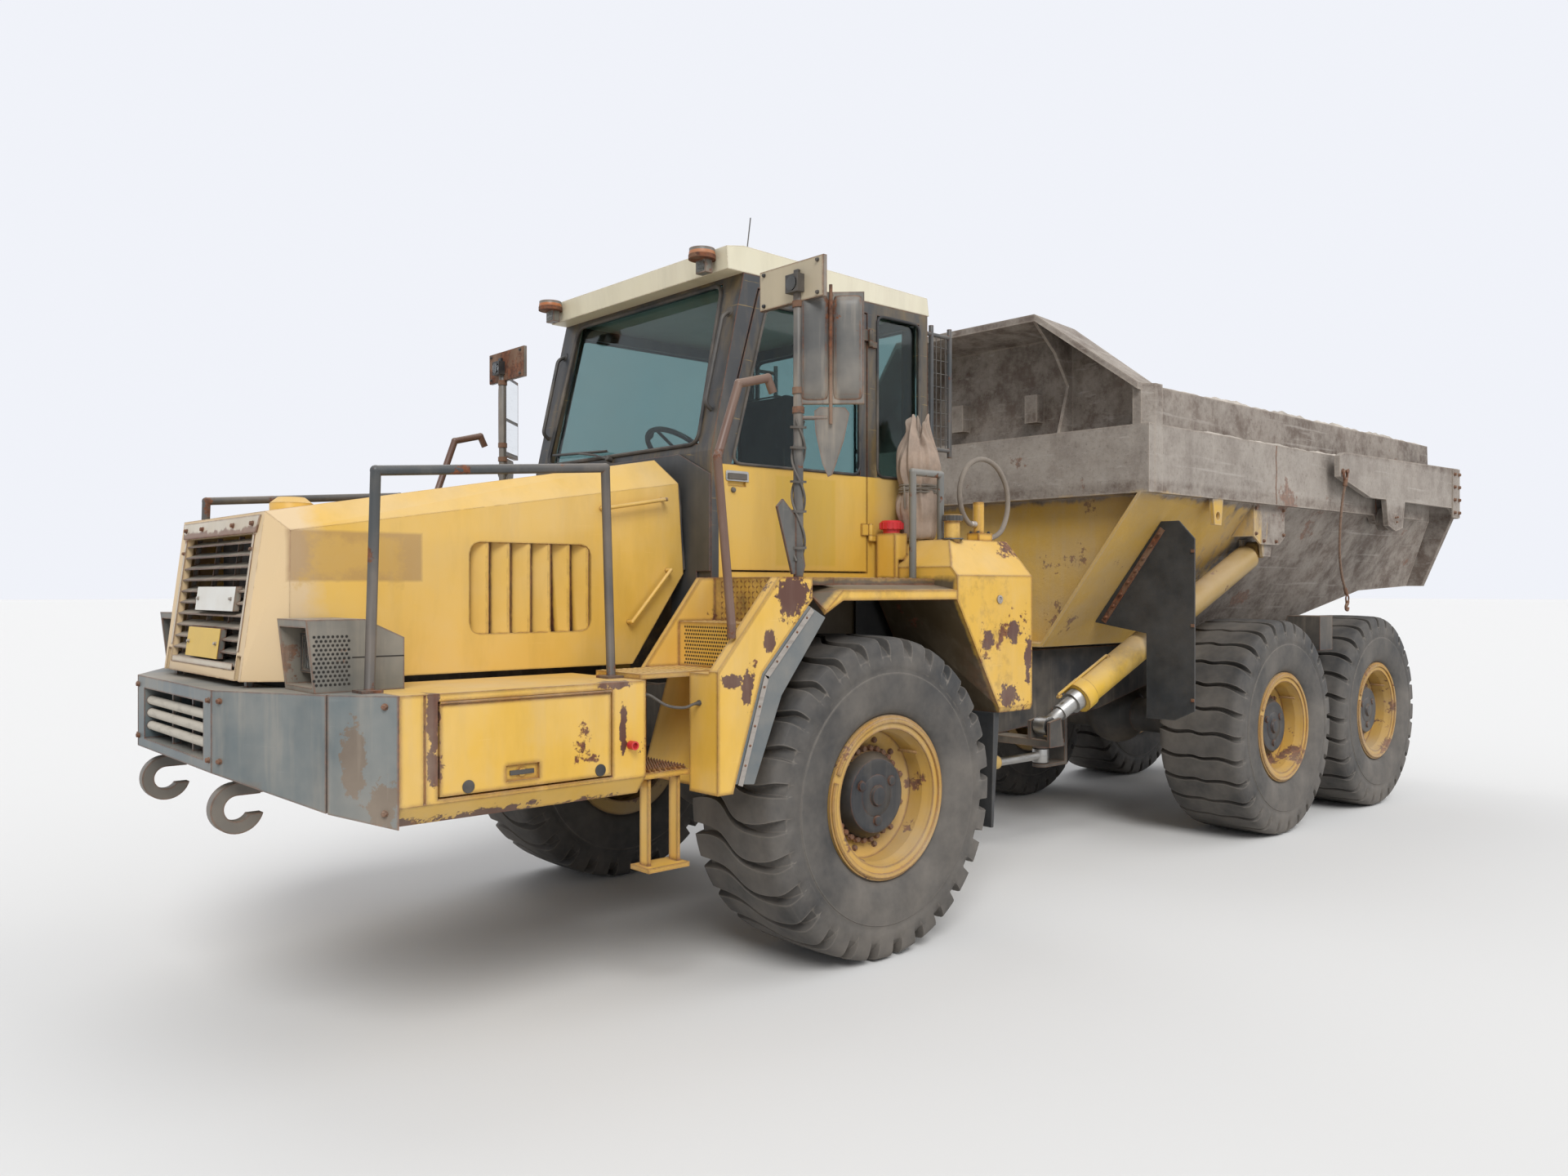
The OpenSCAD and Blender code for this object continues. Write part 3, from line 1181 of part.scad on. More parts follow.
module hoist_barrel(side) {
  color(yellow) on_side(side) difference() {
    union() {
      hoist_place() translate([0, 0, 110]) cylinder(r = hoist_barrel_r, h = hoist_barrel_len - 110);
      hoist_place() translate([0, 0, hoist_barrel_len - 90]) cylinder(r = hoist_barrel_r + 12, h = 90);
      hoist_place() cylinder(r = 46, h = 120);
      hoist_eye(hoist_top, 60, hoist_eye_w);
    }
    hoist_eye(hoist_top, 35 + seat, hoist_eye_w + 20);
    hoist_place() translate([0, 0, 170]) cylinder(r = hoist_stage_r + seat, h = hoist_barrel_len);
  }
}
module hoist_stage(side) {
  color(steel) on_side(side) hoist_place() difference() {
    translate([0, 0, 190]) cylinder(r = hoist_stage_r, h = hoist_barrel_len - 190 + 60);
    translate([0, 0, 260]) cylinder(r = hoist_rod_r + seat, h = hoist_barrel_len);
  }
}
module hoist_rod(side) {
  color(yellow) on_side(side) difference() {
    union() {
      hoist_place() translate([0, 0, 280]) cylinder(r = hoist_rod_r, h = hoist_len - 280 - 150);
      hoist_place() translate([0, 0, hoist_len - 151]) cylinder(r = 38, h = 120);
      hoist_eye(hoist_foot, 60, hoist_eye_w - 10);
    }
    hoist_eye(hoist_foot, 32, hoist_eye_w + 20);
  }
}

front_frame();
front_axle();
engine_block();
radiator();
bumper();
side_boxes();
side_door(1);  // side_door_left
side_door(-1);  // side_door_right
mudguards();
arch_strips();
access_steps();
rear_boxes();
front_flaps();
lamps();
handrails();
mirrors();
cowl();
cab_shell();
cab_roof();
cab_glass();
cab_interior();
hood();
grille();
door_left();
door_glass_left();
steer_barrel(1);  // steer_barrel_left
steer_barrel(-1);  // steer_barrel_right
steer_rod(1);  // steer_rod_left
steer_rod(-1);  // steer_rod_right
rear_frame();
rear_axles();
bogie_beams();
dump_body();
body_flaps();
tailgate();
gate_cable(1);  // gate_cable_left
gate_cable(-1);  // gate_cable_right
hoist_barrel(1);  // hoist_barrel_left
hoist_barrel(-1);  // hoist_barrel_right
hoist_stage(1);  // hoist_stage_left
hoist_stage(-1);  // hoist_stage_right
hoist_rod(1);  // hoist_rod_left
hoist_rod(-1);  // hoist_rod_right
from_axle() rim(0, 1);  // rim_front_left
from_axle() rim(0, -1);  // rim_front_right
from_axle() rim(mid_x, 1);  // rim_mid_left
from_axle() rim(mid_x, -1);  // rim_mid_right
from_axle() rim(rear_x, 1);  // rim_rear_left
from_axle() rim(rear_x, -1);  // rim_rear_right
from_axle() tyre(0, 1);  // tyre_front_left
from_axle() tyre(0, -1);  // tyre_front_right
from_axle() tyre(mid_x, 1);  // tyre_mid_left
from_axle() tyre(mid_x, -1);  // tyre_mid_right
from_axle() tyre(rear_x, 1);  // tyre_rear_left
from_axle() tyre(rear_x, -1);  // tyre_rear_right
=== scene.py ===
# %% [markdown]
# # Dressing an articulated dump truck
# The truck's solids come from CAD: frames, wheels, hood, cab, hopper and their joints.
# This lesson adds what the eye looks for on a machine that has worked for twenty years:
# chipped and faded paint, dust, tyre tread, bolts, hoses, lamps and rubbed steel.
# Every piece but the hoses over the hitch rides on a CAD body, so the truck still steers, tips and opens its doors.

import math

import bmesh
import bpy
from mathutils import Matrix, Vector, noise


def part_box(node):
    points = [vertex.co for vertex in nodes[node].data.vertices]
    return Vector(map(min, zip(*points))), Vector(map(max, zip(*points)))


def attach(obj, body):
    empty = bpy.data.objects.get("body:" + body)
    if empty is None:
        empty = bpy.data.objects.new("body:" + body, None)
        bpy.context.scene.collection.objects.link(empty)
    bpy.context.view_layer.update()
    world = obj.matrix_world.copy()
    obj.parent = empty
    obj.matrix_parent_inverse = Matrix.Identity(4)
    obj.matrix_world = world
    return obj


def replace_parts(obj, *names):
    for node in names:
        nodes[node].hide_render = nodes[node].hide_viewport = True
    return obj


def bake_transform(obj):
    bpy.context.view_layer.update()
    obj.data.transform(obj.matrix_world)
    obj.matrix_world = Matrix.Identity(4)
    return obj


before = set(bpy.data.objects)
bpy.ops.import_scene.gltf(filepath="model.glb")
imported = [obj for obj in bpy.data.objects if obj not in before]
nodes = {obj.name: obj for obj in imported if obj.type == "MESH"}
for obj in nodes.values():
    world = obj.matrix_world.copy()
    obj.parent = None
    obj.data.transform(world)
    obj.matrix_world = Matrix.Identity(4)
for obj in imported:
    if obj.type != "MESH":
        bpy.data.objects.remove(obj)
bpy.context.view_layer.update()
scene = bpy.context.scene

# %% [markdown]
# ## Places
# A drawing of the truck measures everything from the front axle, and the frame's own zero
# is below the middle of its length. `spot` turns the one into the other, in metres.

# %% Where the front axle is
tyre_low, tyre_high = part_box("tyre_front_left")
axle_x = (tyre_low.x + tyre_high.x) / 2
tyre_radius = (tyre_high.z - tyre_low.z) / 2
SIDES = (("left", 1), ("right", -1))
AHEAD, OUTWARD, UP = (1, 0, 0), (0, 1, 0), (0, 0, 1)


def spot(x, y, z):
    """A place measured from the front axle, in the row frame."""
    return Vector((axle_x + x, y, z))


def seat(place):
    """A tuple is measured from the front axle; a Vector is in the row frame already."""
    return spot(*place) if isinstance(place, tuple) else place


def spots(*places):
    return [spot(*place) for place in places]


def stand(name, data):
    """An object of its own in the scene for a mesh, a lamp or a camera."""
    thing = bpy.data.objects.new(name, data)
    scene.collection.objects.link(thing)
    return thing


print(f"front axle at x = {axle_x:.3f} m, tyre radius {tyre_radius:.3f} m")

# %% [markdown]
# ## The camera
# The photograph was taken with a wide phone lens from the front left corner, at head height.
# Its focal length and place were worked out from the wheels, so the same lens is set here.
# The image is 1920 by 1440, and the lens is given for a film 36 mm wide.

# %% Stand where the photographer stood
photo_width = 1920
focal_in_pixels = 1421.8
heading = math.radians(47.79)

lens = bpy.data.cameras.new("camera")
lens.sensor_width = 36
lens.lens = focal_in_pixels * lens.sensor_width / photo_width
camera = stand("camera", lens)
camera.location = spot(4.041, 5.066, 1.752)
looking = Vector((-math.cos(heading), -math.sin(heading), 0))
camera.rotation_euler = looking.to_track_quat("-Z", "Y").to_euler()
scene.camera = camera
print(f"lens {lens.lens:.1f} mm at {tuple(round(v, 2) for v in camera.location)}")

# %% [markdown]
# ## Wiring materials
# A procedural material is a small circuit. `wire` adds a node and fills its sockets, `level`
# stretches a value between two ends, `blend` mixes two colours, and `grain` is soft noise. A
# socket takes a number, a colour or the output of another node.

# %% Helpers for node trees
def fill(socket, value):
    """Puts a number or colour in a socket, or wires an output to it."""
    if isinstance(value, bpy.types.NodeSocket):
        socket.id_data.links.new(value, socket)
    elif isinstance(value, (tuple, list)) and len(value) == 3 and socket.type == "RGBA":
        socket.default_value = (*value, 1)
    else:
        socket.default_value = value


def wire(tree, kind, result=0, sockets=(), **settings):
    """Adds a node, fills its sockets and gives back one of its outputs."""
    node = tree.nodes.new("ShaderNode" + kind)
    for key, value in settings.items():
        setattr(node, key, value)
    for key, value in dict(sockets).items():
        fill(node.inputs[key], value)
    return node.outputs[result]


def tree_of(*values):
    """The node tree of the first value that is an output."""
    return next(value.id_data for value in values if isinstance(value, bpy.types.NodeSocket))


def step(operation):
    """One step of arithmetic, as a function of one or two values, one of them an output."""
    def reckon(a, b=0.0, clamp=False):
        return wire(tree_of(a, b), "Math", 0, {0: a, 1: b}, operation=operation, use_clamp=clamp)
    return reckon


times, plus, minus, ratio, larger, positive = map(step,
    ("MULTIPLY", "ADD", "SUBTRACT", "DIVIDE", "MAXIMUM", "ABSOLUTE"))


def vectors(operation, a, b=(0, 0, 0), result=0):
    return wire(tree_of(a, b), "VectorMath", result, {0: a, 1: b}, operation=operation)


def level(value, low, high, start=0.0, end=1.0):
    """Start below low, end above high, and a straight line in between."""
    return wire(tree_of(value), "MapRange", 0, {"Value": value, "From Min": low, "From Max": high, "To Min": start,
        "To Max": end})


def blend(share, a, b):
    """Colour a where share is 0 and colour b where it is 1."""
    node = tree_of(share).nodes.new("ShaderNodeMix")
    node.data_type = "RGBA"
    for socket, value in ((0, share), (6, a), (7, b)):
        fill(node.inputs[socket], value)
    return node.outputs[2]


def where(tree, axis=None):
    """The place on the object, in metres, or one of its three numbers."""
    node = tree.nodes.get("place") or tree.nodes.new("ShaderNodeTexCoord")
    node.name = "place"
    place = node.outputs["Object"]
    return wire(tree, "SeparateXYZ", axis, {0: place}) if axis else place


def grain(tree, scale, detail=4.0, rough=0.55, sides=None):
    """Soft noise from 0 to 1; sides counts it faster or slower along each axis."""
    place = wire(tree, "Mapping", 0, {"Vector": where(tree), "Scale": sides}) if sides else where(tree)
    return wire(tree, "TexNoise", "Fac", {"Vector": place, "Scale": scale, "Detail": detail, "Roughness": rough})


def new_group(name, inputs, *outputs):
    """An empty node group. Its inputs are {name: first value}, its outputs (name, kind)."""
    group = bpy.data.node_groups.new(name, "ShaderNodeTree")
    for label, first in inputs.items():
        kind = "Vector" if isinstance(first, tuple) else "Float"
        group.interface.new_socket(label, in_out="INPUT", socket_type="NodeSocket" + kind).default_value = first
    for label, kind in outputs:
        group.interface.new_socket(label, in_out="OUTPUT", socket_type="NodeSocket" + kind)
    return group, group.nodes.new("NodeGroupInput").outputs, group.nodes.new("NodeGroupOutput").inputs


def use(tree, group, **sockets):
    """Places a node group in a tree and gives back its outputs."""
    node = tree.nodes.new("ShaderNodeGroup")
    node.node_tree = group
    for key, value in sockets.items():
        fill(node.inputs[key.replace("_", " ")], value)
    return node.outputs


def material(name):
    """A new material: itself, its tree and the sockets of its Principled shader."""
    made = bpy.data.materials.new(name)
    made.use_nodes = True
    tree = made.node_tree
    tree.nodes.clear()
    shader = tree.nodes.new("ShaderNodeBsdfPrincipled")
    tree.links.new(shader.outputs[0], tree.nodes.new("ShaderNodeOutputMaterial").inputs["Surface"])
    return made, tree, shader.inputs


print("helpers ready")

# %% [markdown]
# ## Light and floor
# A pale floor and three wide soft suns show every surface without hard shadows. The world gives
# the rest of the light, and is white only where the camera or a mirror looks straight at it.

# %% Soft studio
scene.view_settings.view_transform = "Standard"
for name, place, strength, width in (("key", (7, 10, 11), 2.3, 30), ("fill", (-9, 8, 9), 0.7, 50),
        ("back", (-4, -10, 13), 0.7, 50)):
    light = bpy.data.lights.new(name, "SUN")
    light.energy, light.angle = strength, math.radians(width)
    sun = stand(name, light)
    sun.location = place
    sun.rotation_euler = (-Vector(place)).to_track_quat("-Z", "Y").to_euler()

scene.world = bpy.data.worlds.new("studio")
scene.world.use_nodes = True
sky = scene.world.node_tree
sky.nodes.clear()
rays = sky.nodes.new("ShaderNodeLightPath").outputs
seen = larger(larger(rays["Is Camera Ray"], rays["Is Transmission Ray"]), rays["Is Glossy Ray"])
backdrop = wire(sky, "Background", 0, {"Color": (0.92, 0.94, 1.0), "Strength": level(seen, 0.0, 1.0, 0.58, 0.95)})
fill(sky.nodes.new("ShaderNodeOutputWorld").inputs["Surface"], backdrop)

FLOOR_REACH = 200
floor_mesh = bpy.data.meshes.new("floor")
floor_mesh.from_pydata([(x * FLOOR_REACH, y * FLOOR_REACH, 0) for x, y in ((-1, -1), (1, -1), (1, 1), (-1, 1))], [],
    [(0, 1, 2, 3)])
floor_paint, _, socket = material("pale floor")
socket["Base Color"].default_value = (0.66, 0.655, 0.64, 1)
socket["Roughness"].default_value = 0.9
floor_mesh.materials.append(floor_paint)
stand("floor", floor_mesh)
print("three suns and a floor")

# %% [markdown]
# ## Worn edges
# Paint goes first where a plate's edge is knocked. A Bevel node gives the normal that the
# edge would have if it were rounded, and where that differs from the true normal there is
# an edge. Noise breaks the line up, so it chips instead of looking like a drawn outline.

# %% Node group: worn edges
edges, given, told = new_group("worn edges", {"Reach": 0.012, "Amount": 0.5, "Chip size": 14.0}, ("Mask", "Float"))
round_normal = edges.nodes.new("ShaderNodeBevel")
round_normal.samples = 3
edges.links.new(given["Reach"], round_normal.inputs["Radius"])
true_normal = wire(edges, "NewGeometry", "True Normal")
nearness = level(vectors("DOT_PRODUCT", round_normal.outputs[0], true_normal, "Value"), 0.985, 0.75)
chips = grain(edges, given["Chip size"], 5.0, 0.65)
needed = level(given["Amount"], 0.0, 1.0, 0.85, 0.3)
broken = minus(plus(times(nearness, 0.5), chips), needed)
fill(told["Mask"], times(level(broken, 0.12, 0.2), level(nearness, 0.02, 0.2)))
print("group:", edges.name)

# %% [markdown]
# ## Rust
# Rust starts at a chip and spreads in patches with a hard ragged rim. One coarse noise says
# where the patches are, and a fine one tears their rims and mottles their colour.

# %% Node group: rust
rust, given, told = new_group("rust", {"Patch size": 1.8, "Amount": 0.3, "Edge": 0.0}, ("Mask", "Float"),
    ("Color", "Color"))
patches = grain(rust, given["Patch size"], 2.0, 0.5)
tears = grain(rust, times(given["Patch size"], 9.0), 6.0, 0.7)
heap = plus(times(patches, 0.7), times(tears, 0.3))
limit = level(given["Amount"], 0.0, 1.0, 0.78, 0.42)
fill(told["Mask"], larger(level(minus(heap, limit), 0.0, 0.02), given["Edge"]))
mottle = level(grain(rust, 42.0, 5.0, 0.7), 0.35, 0.65)
fill(told["Color"], blend(mottle, (0.052, 0.018, 0.01), (0.2, 0.068, 0.026)))
print("group:", rust.name)

# %% [markdown]
# ## Dust and rain streaks
# Dust settles on what faces up and is thrown up near the ground; rain drags it down the
# sides in thin streaks. The streaks are noise that is counted ten times slower along Z.

# %% Node group: dust
dust, given, told = new_group("dust", {"Amount": 0.4, "Splash height": 1.0, "Streaks": 0.4}, ("Mask", "Float"))
up = wire(dust, "SeparateXYZ", "Z", {0: wire(dust, "NewGeometry", "Normal")})
settled = level(up, 0.25, 0.95, 0.0, 0.75)
splash = level(ratio(where(dust, "Z"), given["Splash height"]), 1.0, 0.2, 0.0, 0.8)
clouds = grain(dust, 2.2, 5.0, 0.6)
runs = grain(dust, 1.0, 4.0, 0.6, (16.0, 16.0, 1.3))
streaks = times(level(runs, 0.5, 0.72), given["Streaks"])
lying = larger(larger(settled, splash), streaks)
speckled = times(lying, level(clouds, 0.3, 0.62, 0.35, 1.0))
haze = times(level(clouds, 0.42, 0.75), 0.45)
fill(told["Mask"], times(plus(speckled, haze), given["Amount"], True))
print("group:", dust.name)

# %% [markdown]
# ## A patch
# Some marks have a place of their own, such as the square where a plate was taken off. The
# group compares the place with a box: 1 inside, 0 outside, with soft or torn sides.

# %% Node group: patch
patch, given, told = new_group("patch", {"Middle": (0, 0, 0), "Half size": (1, 1, 1), "Soft": 0.01, "Torn": 0.0},
    ("Mask", "Float"))
offset = vectors("ABSOLUTE", vectors("SUBTRACT", where(patch), given["Middle"]))
beyond = patch.nodes.new("ShaderNodeSeparateXYZ")
patch.links.new(vectors("SUBTRACT", offset, given["Half size"]), beyond.inputs[0])
furthest = larger(larger(beyond.outputs[0], beyond.outputs[1]), beyond.outputs[2])
ragged = times(minus(grain(patch, 9.0, 6.0, 0.7), 0.5), given["Torn"])
fill(told["Mask"], minus(1.0, ratio(plus(furthest, ragged), given["Soft"]), True))
print("group:", patch.name)

# %% [markdown]
# ## Painted steel
# One recipe serves every painted plate: a base colour that has faded unevenly, scratches,
# chips and rust where the groups say, then dust over it all. The layers go in that order,
# and roughness and bump follow the same masks, so rust is dull and slightly sunk.

# %% Recipe for paint
DUST = (0.47, 0.385, 0.29)


def coat(socket, color, rough, height, strength, depth):
    """Wires a colour, a roughness and a height to the shader; depth is in metres."""
    fill(socket["Base Color"], color)
    fill(socket["Roughness"], rough)
    fill(socket["Normal"], wire(tree_of(height), "Bump", 0,
        {"Height": height, "Strength": strength, "Distance": depth}))


def painted(name, fresh, faded, rusted=0.25, patch_size=1.8, chipped=0.5, dusty=0.5, splash=1.0,
            streaky=0.4, gloss=0.42, reach=0.012, marks=(), colors=None):
    """Worn paint. marks lists (mask maker, colour) laid over the paint; colors maps the base."""
    made, tree, socket = material(name)
    color = blend(level(grain(tree, 1.1, 5.0, 0.6), 0.35, 0.68), fresh, faded)
    if colors:
        color = colors(tree, color)
    blots = level(grain(tree, 1.0, 5.0, 0.65, (7, 7, 1.6)), 0.45, 0.8, 0.0, 0.35)
    color = blend(blots, color, tuple(c * 0.62 for c in fresh))
    scuffs = level(grain(tree, 1.4, 3.0, 0.6, (3, 3, 60)), 0.66, 0.74, 0.0, 0.35)
    color = blend(scuffs, color, faded)
    for mask, tint in marks:
        color = blend(mask(tree), color, tint)
    edge = use(tree, edges, Amount=chipped, Reach=reach)["Mask"]
    rusty = use(tree, rust, Patch_size=patch_size, Amount=rusted, Edge=edge)
    color = blend(rusty["Mask"], color, rusty["Color"])
    dirt = use(tree, dust, Amount=dusty, Splash_height=splash, Streaks=streaky)["Mask"]
    dull = larger(rusty["Mask"], dirt)
    bumps = minus(grain(tree, 3.0, 3.0, 0.5), times(rusty["Mask"], 0.35))
    fine = times(grain(tree, 90.0, 3.0, 0.6), times(dull, 0.25))
    coat(socket, blend(dirt, color, DUST), level(dull, 0.0, 1.0, gloss, 0.88), plus(bumps, fine), 0.35, 0.006)
    return made


def patch_mask(middle, half, soft=0.01, torn=0.0, strength=1.0, both=True):
    """A mask maker for `marks`: a box round a place, on both sides of the truck unless said."""
    def mask(tree):
        found = None
        for sign in (1, -1) if both else (1,):
            box = (middle[0], sign * middle[1], middle[2])
            here = use(tree, patch, Middle=box, Half_size=half, Soft=soft, Torn=torn)["Mask"]
            found = larger(found, here) if found else here
        return times(found, strength)
    return mask


def blotches(*blots):
    """A mask maker for `marks`: torn blots, each (x, y, z, half size), alike on both sides."""
    def mask(tree):
        folded = wire(tree, "CombineXYZ", 0, {0: where(tree, "X"), 1: positive(where(tree, "Y")),
            2: where(tree, "Z")})
        nearest = None
        for x, y, z, half in blots:
            off = vectors("DIVIDE", vectors("SUBTRACT", folded, spot(x, y, z)), half)
            near = minus(1.0, vectors("LENGTH", off, result="Value"))
            nearest = larger(nearest, near) if nearest else near
        ragged = times(minus(grain(tree, 17.0, 7.0, 0.75), 0.5), 3.4)
        return level(plus(nearest, ragged), 0.0, 0.06)
    return mask


print("recipe ready")

# %% [markdown]
# ## The truck's own paints
# Three yellows share a colour: the hood's is sun-bleached but whole, the boxes and mudguards
# are chipped to rust along their edges, and the rims are nearly brown. The bumper and cab
# posts are grey, the roof cream.

# %% Mix the paints
YELLOW, BLEACHED = (0.64, 0.375, 0.045), (0.7, 0.455, 0.12)
GREY, GREY_WORN = (0.082, 0.108, 0.116), (0.165, 0.188, 0.188)
DARK, DARK_WORN = (0.022, 0.025, 0.028), (0.06, 0.062, 0.062)
# The second colour here darkens the inside of the wheel arch: grime and painted shade.
RUST_BROWN, ARCH_GRIME_AND_SHADE = (0.085, 0.03, 0.017), (0.03, 0.026, 0.023)

hood_paint = painted(
    "hood yellow", YELLOW, BLEACHED, rusted=0.12, chipped=0.3, dusty=0.4, splash=1.7, streaky=0.25,
    marks=[
        (patch_mask(spot(2.62, 0, 1.75), (0.17, 0.7, 0.42), 0.09, 0.12, 0.85, False), (0.62, 0.47, 0.29)),
        (patch_mask(spot(2.241, 0.62, 1.875), (0.258, 0.03, 0.09), 0.012, 0.01, 0.62), (0.27, 0.155, 0.068)),
        (patch_mask(spot(2.25, 0.62, 1.868), (0.15, 0.03, 0.045), 0.05, 0.3, 0.75), (0.52, 0.315, 0.07)),
    ],
)
box_paint = painted(
    "box yellow", YELLOW, BLEACHED, rusted=0.4, patch_size=2.6, chipped=0.9, dusty=0.4, splash=1.1, reach=0.025,
    marks=[(blotches(
        (2.204, 1.2, 1.28, (0.022, 0.1, 0.13)), (2.204, 1.2, 1.11, (0.03, 0.1, 0.06)),
        (1.43, 1.2, 1.37, (0.07, 0.1, 0.025)), (1.4, 1.2, 1.2, (0.018, 0.1, 0.1)),
        (1.977, 1.2, 0.9, (0.26, 0.2, 0.045)), (1.55, 1.2, 0.865, (0.27, 0.2, 0.06)),
        (2.3, 1.2, 0.91, (0.09, 0.1, 0.035)), (1.22, 1.2, 1.1, (0.08, 0.1, 0.05))), RUST_BROWN)],
)
guard_paint = painted(
    "mudguard yellow", YELLOW, BLEACHED, rusted=0.42, patch_size=3.4, chipped=0.95,
    dusty=0.36, splash=0.9, streaky=0.3, reach=0.025,
    marks=[
        # Inside the wheel arch the plates are darkened: grime, and painted shade under the mudguard and boxes.
        (patch_mask(spot(-0.15, 1.01, 1.3), (0.77, 0.31, 0.485), 0.03, 0.06, 0.93), ARCH_GRIME_AND_SHADE),
        (blotches(
            (0.62, 1.34, 1.73, (0.1, 0.12, 0.11)), (0.747, 1.34, 1.53, (0.035, 0.06, 0.05)),
            (0.88, 1.34, 1.33, (0.04, 0.06, 0.08)), (0.95, 1.34, 1.36, (0.07, 0.06, 0.03)),
            (-0.743, 1.35, 1.49, (0.05, 0.06, 0.05)), (-0.96, 1.35, 1.52, (0.06, 0.06, 0.06)),
            (-0.92, 1.35, 1.19, (0.09, 0.08, 0.06)), (-1.09, 1.35, 1.39, (0.03, 0.06, 0.13)),
            (-0.83, 1.3, 1.98, (0.08, 0.08, 0.035))), RUST_BROWN),
    ],
)
rim_paint = painted("rim yellow", (0.5, 0.285, 0.04), (0.4, 0.26, 0.085), rusted=0.5, patch_size=5.0, chipped=0.95,
    dusty=0.42, streaky=0.5, gloss=0.6, reach=0.02)
# The dark brown patch on the hoist cylinders behind the flaps, under the hopper, is grime and painted shade.
tank_paint = painted(
    "cylinder yellow", (0.66, 0.4, 0.03), (0.62, 0.4, 0.08), rusted=0.34, patch_size=5.0, chipped=0.6, streaky=0.3,
    marks=[(patch_mask(spot(-3.7, 0.95, 1.75), (0.9, 0.5, 0.4), 0.25, 0.5, 0.65), (0.14, 0.095, 0.055))])
bumper_paint = painted(
    "bumper grey", GREY, GREY_WORN, rusted=0.26, patch_size=2.6, chipped=0.8, dusty=0.42, splash=1.2, streaky=0.5,
    marks=[(blotches((2.44, 1.1, 1.15, (0.03, 0.2, 0.12)), (2.37, 1.17, 1.0, (0.04, 0.1, 0.08))),
            (0.125, 0.095, 0.07)),
           (patch_mask(spot(2.85, 0, 0.9), (0.35, 0.7, 0.13), 0.03, 0.03, 0.8, False), (0.115, 0.098, 0.08))])
frame_paint = painted("chassis black", (0.018, 0.019, 0.021), (0.045, 0.042, 0.038), rusted=0.3, dusty=0.42,
    splash=0.9, gloss=0.6)
hub_paint = painted("hub black", (0.012, 0.014, 0.017), (0.034, 0.036, 0.038), rusted=0.22, patch_size=5.0,
    chipped=0.4, dusty=0.22, splash=0.3, gloss=0.45)
lamp_paint = painted("lamp housing grey", (0.075, 0.082, 0.08), (0.2, 0.185, 0.15), rusted=0.38, patch_size=5.0,
    chipped=0.8, dusty=0.55, splash=1.3, streaky=0.5)
rail_paint = painted(
    "handrail grey", (0.045, 0.05, 0.052), (0.105, 0.085, 0.07),
    rusted=0.5, patch_size=6.0, chipped=0.4, dusty=0.25, splash=0.6,
    marks=[(patch_mask(spot(0.95, 1.2, 2.1), (0.3, 0.4, 0.75), 0.02, 0.05, 0.85), (0.125, 0.06, 0.038)),
           (patch_mask(spot(-0.7, 1.2, 2.2), (0.35, 0.4, 0.5), 0.02, 0.02, 0.8), (0.16, 0.165, 0.155))])
roof_paint = painted("roof cream", (0.62, 0.57, 0.41), (0.68, 0.64, 0.5), rusted=0.1, chipped=0.25, dusty=0.42,
    splash=0.5, streaky=0.5)
mirror_paint = painted("mirror grey", (0.045, 0.045, 0.044), (0.15, 0.145, 0.13), rusted=0.42, patch_size=5.0,
    chipped=0.8, dusty=0.48, streaky=0.9)
post_paint = painted("cab post grey", DARK, DARK_WORN, rusted=0.12, chipped=0.35, dusty=0.12, splash=0.8)


def cab_colors(tree, color):
    """Yellow below the windows, dark grey above them and on the front corners."""
    above = level(where(tree, "Z"), 2.338, 2.342)
    ahead = level(where(tree, "X"), axle_x + 0.585, axle_x + 0.589)
    return blend(larger(above, ahead), color, DARK)


cab_paint = painted(
    "cab yellow and grey", YELLOW, (0.62, 0.4, 0.085),
    rusted=0.12, chipped=0.35, dusty=0.18, splash=1.4, streaky=0.35, colors=cab_colors,
    marks=[(patch_mask(spot(0.02, 0.8, 2.085), (0.2, 0.05, 0.215), 0.012, 0.02, 0.55), (0.53, 0.335, 0.022)),
           (patch_mask(spot(-0.72, 0.8, 2.085), (0.17, 0.05, 0.25), 0.08, 0.1, 0.5), (0.56, 0.42, 0.2))])
print("paints:", len(bpy.data.materials))

# %% [markdown]
# ## The hopper's steel
# The dump body carries stone. Its rails are dusted nearly white, its sides have lost most of
# their paint, and yellow is left only on the sheltered faces under the rails. Height and
# place decide between these, and noise keeps the borders ragged.

